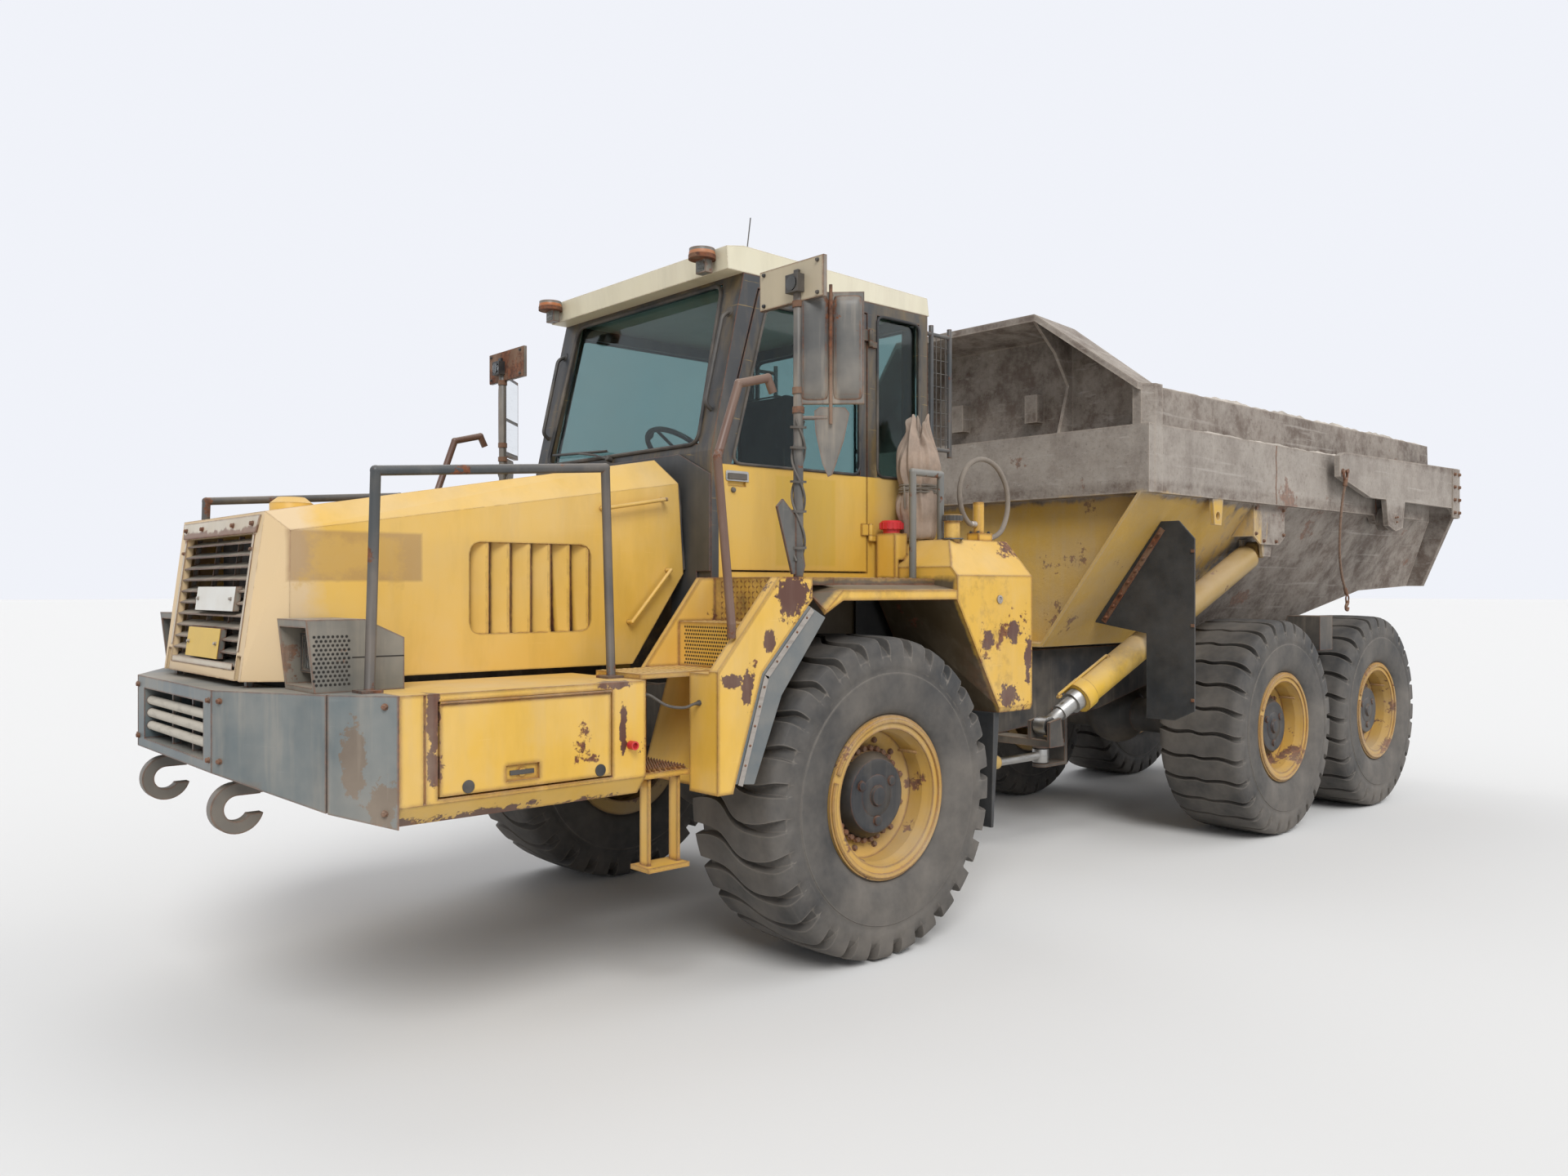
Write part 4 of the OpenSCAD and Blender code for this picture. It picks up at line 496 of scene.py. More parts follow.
# %% Recipe for the hopper
def hopper_steel(name, yellow_left, pale_top):
    made, tree, socket = material(name)
    height = where(tree, "Z")
    broad = grain(tree, 1.3, 6.0, 0.65)
    mottle = grain(tree, 6.0, 8.0, 0.75)
    runs = grain(tree, 1.0, 6.0, 0.7, (7.0, 7.0, 1.8))
    scrapes = grain(tree, 1.0, 4.0, 0.6, (1.1, 6.0, 26.0))
    speck = grain(tree, 38.0, 6.0, 0.75)
    steel = blend(level(broad, 0.38, 0.62), (0.1, 0.074, 0.058), (0.215, 0.178, 0.148))
    for share, tint in (
            (level(mottle, 0.42, 0.66, 0.0, 0.8), (0.305, 0.27, 0.232)),
            (level(mottle, 0.5, 0.36, 0.0, 0.6), (0.088, 0.056, 0.04)),
            (times(level(height, 2.41, 2.44), level(height, 2.8, 2.76, 0.0, 0.42)), (0.36, 0.325, 0.285)),
            (level(runs, 0.55, 0.74, 0.0, 0.35), (0.35, 0.305, 0.255)),
            (level(scrapes, 0.6, 0.7, 0.0, 0.45), (0.4, 0.365, 0.325)),
            (level(speck, 0.55, 0.75, 0.0, 0.6), (0.075, 0.05, 0.037))):
        steel = blend(share, steel, tint)
    low = level(height, 2.42, 2.3)
    front = level(where(tree, "X"), axle_x - 4.6, axle_x - 3.4, 0.25, 1.0)
    kept = times(times(low, front), yellow_left)
    ragged = plus(times(runs, 0.7), times(broad, 0.4))
    shown = level(minus(plus(kept, ragged), 0.92), 0.0, 0.12)
    paint = blend(level(broad, 0.35, 0.7), (0.58, 0.345, 0.045), (0.46, 0.31, 0.12))
    color = blend(times(shown, low), steel, paint)
    color = blend(times(use(tree, edges, Amount=0.7, Reach=0.02)["Mask"], 0.6), color, (0.4, 0.34, 0.28))
    rusty = use(tree, rust, Patch_size=2.2, Amount=0.4)
    color = blend(times(rusty["Mask"], 0.8), color, rusty["Color"])
    pale = use(tree, dust, Amount=pale_top, Splash_height=0.9, Streaks=0.25)["Mask"]
    color = blend(pale, color, (0.46, 0.41, 0.35))
    rough = plus(times(speck, 0.35), grain(tree, 5.0, 4.0, 0.6))
    coat(socket, color, level(speck, 0.3, 0.7, 0.72, 0.95), rough, 0.6, 0.012)
    return made


hopper_paint = hopper_steel("hopper steel", 0.62, 0.45)
gate_paint = hopper_steel("gate steel", 0.1, 0.35)
print("hopper:", hopper_paint.name, gate_paint.name)

# %% [markdown]
# ## Rubber, metal and plastic
# Tyre rubber is grey with dust rather than black, dustier on the tread than in the
# grooves. Chrome on the cylinder rods stays bright, with a film of oil and dirt. The glass is
# tinted green and keeps plain sockets, so it stays clear in any renderer.

# %% Other finishes
def rubber_finish(name, color, dusty, rough):
    made, tree, socket = material(name)
    mottled = grain(tree, 6.0, 6.0, 0.7)
    base = blend(level(mottled, 0.35, 0.7), color, tuple(c * 1.9 for c in color))
    film = times(level(grain(tree, 1.7, 5.0, 0.65), 0.35, 0.7), dusty)
    edge = times(use(tree, edges, Amount=0.8, Reach=0.012, Chip_size=20.0)["Mask"], dusty)
    coat(socket, blend(larger(film, edge), base, (0.3, 0.26, 0.215)),
         level(mottled, 0.3, 0.7, rough, rough + 0.15),
         plus(times(grain(tree, 60.0, 4.0, 0.7), 0.4), mottled), 0.4, 0.005)
    return made


def plain_metal(name, color, rough, worn=0.3, metallic=1.0):
    made, tree, socket = material(name)
    smear = grain(tree, 2.0, 5.0, 0.65, (4, 4, 18))
    coat(socket, blend(level(smear, 0.5, 0.85, 0.0, worn), color, tuple(c * 0.35 for c in color)),
         level(smear, 0.3, 0.7, rough, rough + 0.25), grain(tree, 70.0, 3.0, 0.6), 0.15, 0.002)
    socket["Metallic"].default_value = metallic
    return made


def moulded(name, color, rough=0.5, dusty=0.2):
    made, tree, socket = material(name)
    cloud = level(grain(tree, 3.0, 5.0, 0.6), 0.4, 0.75, 0.0, dusty)
    coat(socket, blend(cloud, color, DUST), level(cloud, 0.0, 0.5, rough, 0.85),
        grain(tree, 140.0, 3.0, 0.6), 0.25, 0.0015)
    return made


def glass_finish(name, tint, rough=0.02):
    made, tree, socket = material(name)
    film = grain(tree, 2.5, 5.0, 0.6)
    fill(socket["Base Color"], blend(level(film, 0.4, 0.8, 0.0, 0.25), tint, (0.45, 0.5, 0.46)))
    fill(socket["Roughness"], level(film, 0.4, 0.75, rough, rough + 0.03))
    socket["Transmission Weight"].default_value = 1.0
    socket["IOR"].default_value = 1.3
    return made


tyre_rubber = rubber_finish("tyre rubber", (0.024, 0.024, 0.024), 0.42, 0.72)
sheet_rubber = rubber_finish("rubber sheet", (0.013, 0.015, 0.017), 0.16, 0.55)
hose_rubber = rubber_finish("hose rubber", (0.02, 0.019, 0.018), 0.35, 0.6)
chrome = plain_metal("chromed rod", (0.4, 0.39, 0.37), 0.3, 0.7)
bare_steel = plain_metal("bare steel", (0.42, 0.38, 0.34), 0.42, 0.7)
rusty_iron = painted("rusted iron", (0.1, 0.045, 0.022), (0.17, 0.09, 0.05), rusted=0.8, patch_size=8.0, chipped=0.9,
    dusty=0.45, gloss=0.8)
black_plastic = moulded("black plastic", (0.02, 0.021, 0.022), 0.45, 0.25)
strip_plastic = moulded("grey arch plastic", (0.085, 0.108, 0.12), 0.42, 0.3)
red_plastic = moulded("red cap", (0.5, 0.018, 0.022), 0.38, 0.15)
amber_plastic = moulded("amber lens", (0.36, 0.115, 0.028), 0.3, 0.35)
cab_glass = glass_finish("cab glass", (0.34, 0.47, 0.47))
lamp_glass = glass_finish("lamp glass", (0.92, 0.94, 0.94))
print("finishes in all:", len(bpy.data.materials))

# %% [markdown]
# ## Finish the CAD pieces
# The solids from CAD keep their shapes. Each gets its finish here, and all but the glass, tyres
# and rims a small bevel, because real plates are never razor sharp: the bevel catches a line of
# light along every edge.

# %% Give every CAD node its finish
FINISH = {name: finish for finish, names in (
    (frame_paint, "front_frame front_axle rear_frame rear_axles bogie_beams radiator engine_block"),
    (bumper_paint, "bumper"), (box_paint, "side_boxes side_door_left side_door_right"),
    (guard_paint, "mudguards access_steps rear_boxes"), (strip_plastic, "arch_strips"),
    (sheet_rubber, "front_flaps body_flaps"), (lamp_paint, "lamps grille"), (rail_paint, "handrails"),
    (mirror_paint, "mirrors"), (post_paint, "cowl"), (cab_paint, "cab_shell door_left"), (roof_paint, "cab_roof"),
    (cab_glass, "cab_glass door_glass_left"), (black_plastic, "cab_interior"), (hood_paint, "hood"),
    (hopper_paint, "dump_body"), (gate_paint, "tailgate"), (tank_paint, "steer_barrel_ hoist_barrel_"),
    (chrome, "steer_rod_ hoist_stage_ hoist_rod_"), (rusty_iron, "gate_cable_"),
    (rim_paint, "rim_front_ rim_mid_ rim_rear_"), (tyre_rubber, "tyre_front_ tyre_mid_ tyre_rear_"),
) for name in names.split()}
BEVEL_ANGLE = math.radians(40)


def soften(thing, width):
    """Rounds the sharp edges, width in metres."""
    rounding = thing.modifiers.new("soften", "BEVEL")
    rounding.width, rounding.segments = width, 2
    rounding.limit_method, rounding.angle_limit = "ANGLE", BEVEL_ANGLE


for name, thing in nodes.items():
    both = name.removesuffix("left").removesuffix("right")
    thing.data.materials.clear()
    thing.data.materials.append(FINISH.get(name) or FINISH[both])
    if name not in ("cab_glass", "door_glass_left") and not name.startswith(("tyre_", "rim_")):
        thing.modifiers.new("join", "WELD").merge_threshold = 0.0001
        soften(thing, 0.004)
print("finished", len(nodes), "nodes")

# %% [markdown]
# ## Building small pieces
# Most details are plates, rods, bolts and bent tubes. `Work` collects such solids in one
# mesh and then makes an object of them that rides on a CAD body. Straight tubes are bent
# with `rounded`, which trades each corner of a path for an arc.

# %% Meshes, rings and bands
def turn(k, count):
    """The angle after k of count equal steps round a circle."""
    return 2 * math.pi * k / count


def band(mesh, a, b):
    """Joins two closed rings of points with faces. A ring of one point makes a cone."""
    count = max(len(a), len(b))
    for k in range(count):
        n = (k + 1) % count
        if len(a) == 1 and len(b) > 1:
            mesh.faces.new((a[0], b[k], b[n]))
        elif len(b) == 1 and len(a) > 1:
            mesh.faces.new((a[k], b[0], a[n]))
        elif len(a) > 1:
            mesh.faces.new((a[k], a[n], b[n], b[k]))


def skin(mesh, rings):
    """Joins each ring to the next and closes both ends."""
    for a, b in zip(rings, rings[1:]):
        band(mesh, a, b)
    mesh.faces.new(rings[0][::-1])
    mesh.faces.new(rings[-1])


def smooth_data(name, mesh, sharp):
    """Mesh data that is shaded smooth but for edges over sharp degrees."""
    bmesh.ops.recalc_face_normals(mesh, faces=mesh.faces[:])
    data = bpy.data.meshes.new(name)
    mesh.to_mesh(data)
    mesh.free()
    data.shade_smooth()
    data.set_sharp_from_angle(angle=math.radians(sharp))
    return data


print("rings and bands ready")

# %% A bench to build on
class Work:
    """Collects solids in one mesh. Places are tuples or Vectors, as `seat` takes them, in metres."""

    def __init__(self):
        self.mesh = bmesh.new()

    def points(self, places):
        return [self.mesh.verts.new(seat(place)) for place in places]

    def block(self, low, high):
        low, high = seat(low), seat(high)
        points = self.points(Vector((x, y, z)) for x in (low[0], high[0]) for y in (low[1], high[1])
            for z in (low[2], high[2]))
        for corners in ((0, 1, 3, 2), (4, 6, 7, 5), (0, 4, 5, 1), (2, 3, 7, 6), (0, 2, 6, 4), (1, 5, 7, 3)):
            self.mesh.faces.new([points[c] for c in corners])
        return self

    def plate(self, outline, thick):
        """A flat outline, pushed along the vector thick."""
        skin(self.mesh, [self.points(outline), self.points(seat(p) + Vector(thick) for p in outline)])
        return self

    def lathe(self, profile, middle, axis, steps=32):
        """Turns (along, radius) pairs round an axis. A radius of 0 closes the end."""
        middle, tilt = seat(middle), Vector(axis).to_track_quat("Z", "Y").to_matrix()
        rings = [self.points(
            middle + tilt @ Vector((radius * math.cos(turn(k, steps)), radius * math.sin(turn(k, steps)), along))
            for k in range(steps if radius else 1)) for along, radius in profile]
        for a, b in zip(rings, rings[1:]):
            band(self.mesh, a, b)
        return self

    def rod(self, a, b, radius, sides=16):
        run = seat(b) - seat(a)
        return self.lathe([(0, 0), (0, radius), (run.length, radius), (run.length, 0)], a, run, sides)

    def bolt(self, place, axis, across=0.024):
        """A hexagon head on its washer."""
        washer, head, top = across * 0.68, across / math.sqrt(3), 0.003 + across * 0.6
        self.lathe([(0, 0), (0, washer), (0.003, washer), (0.003, 0)], place, axis, 16)
        return self.lathe([(0.003, 0), (0.003, head), (0.003 + across * 0.5, head), (top, head * 0.8), (top, 0)],
            place, axis, 6)

    def tube(self, path, radius, sides=12):
        """A round tube along close points, with flat ends."""
        points = [seat(p) for p in path]
        last = len(points) - 1
        normal = (points[1] - points[0]).orthogonal().normalized()
        rings = []
        for i, point in enumerate(points):
            ahead = (points[min(i + 1, last)] - points[max(i - 1, 0)]).normalized()
            normal = (normal - ahead * normal.dot(ahead)).normalized()
            across = ahead.cross(normal)
            size = radius(i / last) if callable(radius) else radius
            rings.append(self.points(point + size * (math.cos(angle) * normal + math.sin(angle) * across)
                for angle in (turn(k, sides) for k in range(sides))))
        skin(self.mesh, rings)
        return self

    def both_sides(self):
        """Adds the mirror image across the centreline."""
        copy = bmesh.ops.duplicate(self.mesh,
            geom=self.mesh.verts[:] + self.mesh.edges[:] + self.mesh.faces[:])["geom"]
        for v in (g for g in copy if isinstance(g, bmesh.types.BMVert)):
            v.co.y = -v.co.y
        bmesh.ops.reverse_faces(self.mesh, faces=[g for g in copy if isinstance(g, bmesh.types.BMFace)])
        return self

    def done(self, name, finish, body="front_unit", bevel=0.0, sharp=35, slot=None, smooth=0):
        """Makes the object, rounds its edges and seats it on its body."""
        data = smooth_data(name, self.mesh, sharp)
        data.materials.append(finish)
        thing = stand(name, data)
        if bevel:
            soften(thing, bevel)
        if smooth:
            round_off = thing.modifiers.new("round", "SUBSURF")
            round_off.levels = round_off.render_levels = smooth
        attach(thing, body)
        return thing


def rounded(corners, radius, steps=6):
    """The same path with an arc at each corner, as a tube bender would leave it."""
    points = [Vector(c) for c in corners]
    path = [points[0]]
    for before, corner, after in zip(points, points[1:], points[2:]):
        into, away = (before - corner), (after - corner)
        reach = min(radius, into.length * 0.45, away.length * 0.45)
        start, end = corner + into.normalized() * reach, corner + away.normalized() * reach
        for k in range(steps + 1):
            t = k / steps
            path.append(start * (1 - t) ** 2 + corner * 2 * t * (1 - t) + end * t ** 2)
    path.append(points[-1])
    return path


def flowing(given, steps=8):
    """A smooth curve through every point, for hoses and ropes."""
    ends = [given[0] * 2 - given[1]] + given + [given[-1] * 2 - given[-2]]
    path = []
    for a, b, c, d in zip(ends, ends[1:], ends[2:], ends[3:]):
        for k in range(steps):
            t = k / steps
            square, cube = 2 * a - 5 * b + 4 * c - d, 3 * b - a - 3 * c + d
            path.append(0.5 * ((2 * b) + (c - a) * t + square * t ** 2 + cube * t ** 3))
    return path + [given[-1]]


def ends_of(path):
    """The two ends of a path, each with the direction that leads into it."""
    return (path[0], path[1] - path[0]), (path[-1], path[-2] - path[-1])


def length_of(path):
    return sum((b - a).length for a, b in zip(path, path[1:]))


def ring_of(middle, radius, count, deep="y"):
    """A closed loop of places round a middle, upright (deep y) or level (deep z)."""
    along, up = Vector(AHEAD), Vector(UP) if deep == "y" else Vector(OUTWARD)
    return [middle + radius * (math.cos(turn(k, count)) * along + math.sin(turn(k, count)) * up)
        for k in range(count + 1)]


print("bench ready")

# %% [markdown]
# ## Tyres
# The tread is a ring of bars that bend as they cross from one shoulder to the other. The mesh
# is a grid: rows follow the tyre's section from bead to bead and columns follow the bars, so
# every groove has true vertical walls with few faces. The front pair is more worn and open at
# the shoulders than the four at the rear, so there are two meshes, each shared by its wheels.

# %% Tyre section and tread
WHEEL_Y = 1.075
WHEELS = {}
for axle in ("front", "mid", "rear"):
    for side, sign in SIDES:
        low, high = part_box(f"tyre_{axle}_{side}")
        WHEELS[axle, side] = Vector(((low.x + high.x) / 2, sign * WHEEL_Y, tyre_radius))

LUGS = 28
# Half the section, from the flange to the middle of the tread. Columns: distance out,
# radius, distance out in the groove, radius in the groove. Below the tread there is no groove.
SIDEWALL = (
    (0.25, 0.345), (0.252, 0.392), (0.268, 0.402), (0.281, 0.425), (0.2905, 0.455), (0.2965, 0.49), (0.2995, 0.53),
    (0.3, 0.565), (0.299, 0.588), (0.2945, 0.592), (0.293, 0.612), (0.2955, 0.617),
)
TREAD = (
    (0.295, 0.64, 0.293, 0.64), (0.2925, 0.668, 0.287, 0.667), (0.2915, 0.678, 0.279, 0.676),
    (0.2895, 0.7, 0.265, 0.694), (0.284, 0.724, 0.25, 0.708), (0.274, 0.742, 0.238, 0.715),
    (0.256, 0.7535, 0.225, 0.719), (0.225, 0.7585, 0.205, 0.7215), (0.19, 0.7605, 0.18, 0.723),
    (0.15, 0.762, 0.145, 0.724), (0.11, 0.7635, 0.107, 0.725), (0.075, 0.764, 0.073, 0.7255),
    (0.045, 0.7645, 0.044, 0.726), (0.02, 0.765, 0.02, 0.726),
)
SECTION = [row * 2 for row in SIDEWALL] + list(TREAD)
SHOULDER_Y = 0.2915


def tyre_mesh(name, shoulder_gap, middle_gap, sweep, kink):
    """shoulder_gap and middle_gap are a groove's share of the pitch; sweep and kink bend the bars."""
    shape = bmesh.new()
    rings = []
    for y, radius, groove_y, groove_radius in SECTION + [(-y, r, -gy, gr) for y, r, gy, gr in reversed(SECTION)]:
        out = max(-SHOULDER_Y, min(SHOULDER_Y, y))
        half = (middle_gap + (shoulder_gap - middle_gap) * (abs(out) / SHOULDER_Y) ** 2) / 2
        shift = sweep * math.tanh(out / 0.05) + kink * math.sin(out / SHOULDER_Y * math.pi)
        third = (0.5 - half) / 3
        ring = []
        for lug in range(LUGS):
            for across, deep in ((-half, 0), (-half + 0.05, 1), (half - 0.05, 1), (half, 0), (0.5 - third, 0),
                    (0.5 + third, 0)):
                angle = turn(lug + across + shift, LUGS)
                r, d = (groove_radius, groove_y) if deep else (radius, y)
                ring.append(shape.verts.new((r * math.sin(angle), d, r * math.cos(angle))))
        rings.append(ring)
    for a, b in zip(rings, rings[1:] + rings[:1]):
        band(shape, a, b)
    data = smooth_data(name, shape, 32)
    data.materials.append(tyre_rubber)
    return data


open_tread = tyre_mesh("open_tread", 0.4, 0.2, 0.26, 0.1)
wavy_tread = tyre_mesh("wavy_tread", 0.27, 0.16, 0.2, -0.22)
for (axle, side), middle in WHEELS.items():
    tyre = stand(f"tread_{axle}_{side}", open_tread if axle == "front" else wavy_tread)
    tyre.location = middle
    tyre.rotation_euler = (0, 0, 0 if side == "left" else math.pi)
    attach(tyre, f"wheel_{axle}_{side}")
    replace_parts(tyre, f"tyre_{axle}_{side}")
print(len(open_tread.polygons), "faces on a tyre,", LUGS, "bars")

# %% [markdown]
# ## Hubs and lock rings
# Deep in each rim sits the dark cover of the planetary hub, inside a ring of thirty bolts.
# The rim itself is held by a split lock ring on its outer flange. All six are alike, so one
# function builds them round a wheel's middle, facing out.

# %% Hub covers, bolts and lock rings
def hub_pieces(axle, side):
    middle = WHEELS[axle, side]
    out = Vector((0, 1 if side == "left" else -1, 0))
    body = f"wheel_{axle}_{side}"

    def done(work, name, finish, slot):
        work.done(f"{name}_{axle}_{side}", finish, body, slot=slot)

    def round_the_axle(radius, angle, along):
        return middle + Vector((radius * math.cos(angle), 0, radius * math.sin(angle))) + out * along

    cover = Work()
    cover.lathe([
        (0.096, 0.22), (0.118, 0.22), (0.122, 0.214), (0.122, 0.2065), (0.1462, 0.2065), (0.1925, 0.1765),
        (0.1955, 0.165), (0.1925, 0.155), (0.1925, 0.1), (0.196, 0.095), (0.198, 0.05), (0.212, 0.044),
        (0.214, 0.038), (0.214, 0.0)], middle, out, 48)
    for k in range(3):
        cover.lathe([(0.19, 0.024), (0.202, 0.022), (0.204, 0.018), (0.204, 0)],
            round_the_axle(0.118, 0.5 + turn(k, 3), 0), out, 16)
    done(cover, "hub_cover", hub_paint, "frame_paint")
    bolts = Work()
    for k in range(30):
        bolts.bolt(round_the_axle(0.2185, turn(k, 30), 0.1215), out, 0.026)
    for k in range(12):
        angle = turn(k + 0.5, 12)
        bolts.bolt(round_the_axle(0.262, angle, 0.108),
            out - Vector((math.cos(angle), 0, math.sin(angle))) * 0.35, 0.022)
    done(bolts, "hub_bolts", rusty_iron, "frame_paint")
    ring, gap, steps = Work(), 0.05, 60
    section = ((0.2685, 0.352), (0.279, 0.354), (0.281, 0.361), (0.281, 0.372), (0.276, 0.378), (0.2685, 0.378))
    skin(ring.mesh, [
        ring.points(round_the_axle(r, 0.35 + gap + (2 * math.pi - 2 * gap) * k / steps, y) for y, r in section)
        for k in range(steps + 1)])
    done(ring, "lock_ring", rim_paint, "yellow_paint")
    guard = Work()
    along = Vector((math.cos(-0.12), 0, math.sin(-0.12)))
    for lift in (-0.022, 0.018):
        start, end = (middle + along * radius + Vector((0, 0, lift)) for radius in (0.222, 0.306))
        guard.plate([start + out * 0.1, start + out * 0.155, end + out * 0.17, end + out * 0.12], (0, 0, 0.005))
    guard.tube([round_the_axle(0.302, -0.42 + 0.05 * k, 0.235) for k in range(8)], 0.009, 8)
    guard.tube(flowing([round_the_axle(0.285, 2.4, 0.14), round_the_axle(0.29, 2.42, 0.19),
        round_the_axle(0.298, 2.46, 0.24)]), 0.007, 8)
    done(guard, "valve_guard", rim_paint, "yellow_paint")


for axle, side in WHEELS:
    hub_pieces(axle, side)
print("hubs on", len(WHEELS), "wheels")

# %% [markdown]
# ## The truck's face
# Between the bumper and the header panel the grille's bars are half hidden by two blank
# plates, one white and one yellow. The cream header above has rusted along its lower edge,
# and narrow strips frame the grille. The bumper's slot bars are worn pale.

# %% Grille header, plates and slot bars
white_plate = moulded("white plate", (0.66, 0.65, 0.6), 0.4, 0.3)
yellow_plate = moulded("yellow plate", (0.62, 0.4, 0.05), 0.42, 0.35)
dusty_bar = plain_metal("dusty bar", (0.46, 0.42, 0.35), 0.75, 0.6, metallic=0.0)
header_paint = painted(
    "header cream", (0.56, 0.5, 0.4), (0.48, 0.4, 0.29),
    rusted=0.3, patch_size=3.0, chipped=0.7, dusty=0.45, splash=1.5, streaky=0.5,
    marks=[(patch_mask(spot(2.57, 0, 1.968), (0.08, 0.6, 0.014), 0.008, 0.09, 0.9, False), (0.16, 0.07, 0.034))])
LEANING = (1, 0, 0.13)


def on_face(y, z, off=0.0005):
    """A place just off the hood's front face, which leans back."""
    return spot(2.639 - 0.085 * (z - 1.402) / 0.64 + off, y, z)


def quad(low_y, high_y, low, high, form=on_face):
    """The four corners of an upright rectangle."""
    return [form(low_y, low), form(high_y, low), form(high_y, high), form(low_y, high)]


header = Work()
header.plate([on_face(-0.47, 1.962), on_face(0.47, 1.962), on_face(0.492, 2.03), on_face(-0.492, 2.03)],
    (0.007, 0, 0.001))
for low_y, high_y, low, high in ((-0.4, 0.4, 1.44, 1.466), (0.428, 0.452, 1.51, 1.958),
        (-0.428, -0.452, 1.51, 1.958)):
    header.plate(quad(low_y, high_y, low, high), (0.0025, 0, 0.0004))
header.done("grille_surround", header_paint, "hood", bevel=0.002, slot="grey_paint")
screws = Work()
for y, z, off, across in ((0.43, 1.998, 0.008, 0.016), (0.2, 1.998, 0.008, 0.016), (0.44, 1.9, 0.003, 0.012)):
    for sign in (-1, 1):
        screws.bolt(on_face(sign * y, z, off), LEANING, across)
screws.done("header_screws", rusty_iron, "hood")

for name, finish, y, low, high, wide in (("white", white_plate, 0.095, 1.662, 1.757, 0.48),
        ("yellow", yellow_plate, 0.014, 1.474, 1.592, 0.416)):
    x_low, x_high = (2.6465 - 0.068 * (z - 1.441) / 0.518 - 0.0059 for z in (low, high))
    blank = Work()
    blank.plate(quad(y - wide / 2, y + wide / 2, low, high, lambda y, z: spot(x_low if z == low else x_high, y, z)),
        (0.003, 0, 0))
    blank.done(name + "_plate", finish, "hood", bevel=0.001)
    screws = Work()
    for sign in (-1, 1):
        screws.bolt(spot((x_low + x_high) / 2 + 0.003, y + sign * (wide / 2 - 0.03), (low + high) / 2),
            LEANING, 0.012)
    screws.done(name + "_plate_screws", bare_steel, "hood")

bars = Work()
for z in (1.1675, 1.221, 1.2745):
    bars.rod((2.71, -0.412, z), (2.71, 0.412, z), 0.0185, 20)
bars.done("slot_bars", dusty_bar, slot="chromed_steel")
print("face: header, two plates, three bars")

# %% [markdown]
# ## Bumper bolts and lamps
# Bolt heads run along the bumper's seams. In each lamp housing two rectangular lamps sit
# side by side: a pressed reflector, a small bulb and a ribbed glass. The housing's outer
# side is pierced, and dark dots of painted shade stand for the holes.

# %% Bolts and headlamps
bolts = Work()
for y, z, ahead, lean in ((0.49, 1.12, 2.74, 0), (0.49, 1.34, 2.74, 0), (0.555, 1.12, 2.722136, 0.51),
        (0.555, 1.34, 2.722136, 0.51)):
    bolts.bolt((ahead, y, z), (1, lean, 0), 0.017)
for z in (0.97, 1.34):
    bolts.bolt((2.363, 1.16, z), (0.771, 0.636, 0), 0.018)
bolts.both_sides().done("bumper_bolts", rusty_iron)

# Painted shade: flat black that stands for the dark seen through punched holes.
hole_shade = moulded("shadow black", (0.006, 0.006, 0.006), 0.9, 0.1)
reflector = plain_metal("reflector", (0.8, 0.81, 0.82), 0.16, 0.2)
LAMP_X = 2.4525
for side, sign in SIDES:
    bowls, glasses, rims = Work(), Work(), Work()
    for y in (sign * 0.72, sign * 0.85):
        for form, x, deep in ((bowls, LAMP_X, 0.002), (glasses, LAMP_X + 0.012, 0.004)):
            form.plate(quad(y - 0.047, y + 0.047, 1.452, 1.578, lambda y, z: spot(x, y, z)), (deep, 0, 0))
        bowls.lathe([(0.002, 0.046), (0.004, 0.04), (0.003, 0.02), (0.003, 0.0)], (LAMP_X, y, 1.515), AHEAD, 24)
        bowls.rod((2.4555, y, 1.515), (2.4635, y, 1.515), 0.006, 12)
        for k in range(6):
            rib = y - 0.04 + 0.016 * k
            glasses.plate(spots((2.4684, rib - 0.004, 1.456), (2.4684, rib + 0.004, 1.456), (2.47, rib, 1.456)),
                (0, 0, 0.118))
        for y_low, low, y_high, high in ((-0.053, 1.445, -0.048, 1.585), (0.048, 1.445, 0.053, 1.585),
                                         (-0.053, 1.445, 0.053, 1.45), (-0.053, 1.58, 0.053, 1.585)):
            rims.block((2.4702, y + y_low, low), (2.4755, y + y_high, high))
    bowls.done("lamp_reflectors_" + side, reflector)
    glasses.done("lamp_glasses_" + side, lamp_glass)
    rims.done("lamp_rims_" + side, black_plastic, bevel=0.001)


def dots(form, rows, columns, radius, pitch, place, axis):
    """Dark dots of painted shade for punched holes. pitch is (along, aside, up); place takes (along, up)."""
    along, aside, up = pitch
    for row in range(rows):
        for column in range(columns):
            form.lathe([(0, 0), (0, radius), (0.0008, radius), (0.0008, 0)],
                place(along * column + (aside if row % 2 else 0), up * row), axis, 8)


# The holes in the housing's side are dots of painted shade, with a thin strip of the same painted shade beside them.
pierced = Work()
dots(pierced, 12, 8, 0.0055, (0.0165, 0.008, 0.0155),
    lambda along, up: spot(2.398 + along, 0.9302, 1.408 + up), OUTWARD)
pierced.block((2.192, 0.9302, 1.5), (2.386, 0.931, 1.5045))
pierced.both_sides().done("lamp_side_holes", hole_shade)
print("lamps: 4 in two housings")

# %% [markdown]
# ## Steps, boxes and mudguards
# The lower riser is punched with small holes and the upper one pressed in a herringbone. The
# treads have raised lozenges for grip. Along the wheel arch the plastic strip is held by a
# metal batten with a rivet every hand's width, and rubber curtains close the arch behind.

# %% Punched riser, lozenge treads, battens
holes = Work()
# The riser's punched holes are dark dots of painted shade.
dots(holes, 11, 25, 0.0052, (0.0162, 0.0081, 0.0162),
    lambda along, up: spot(0.8453, 0.878 + along, 1.416 + up), AHEAD)
holes.both_sides().done("riser_holes", hole_shade)

treads = Work()


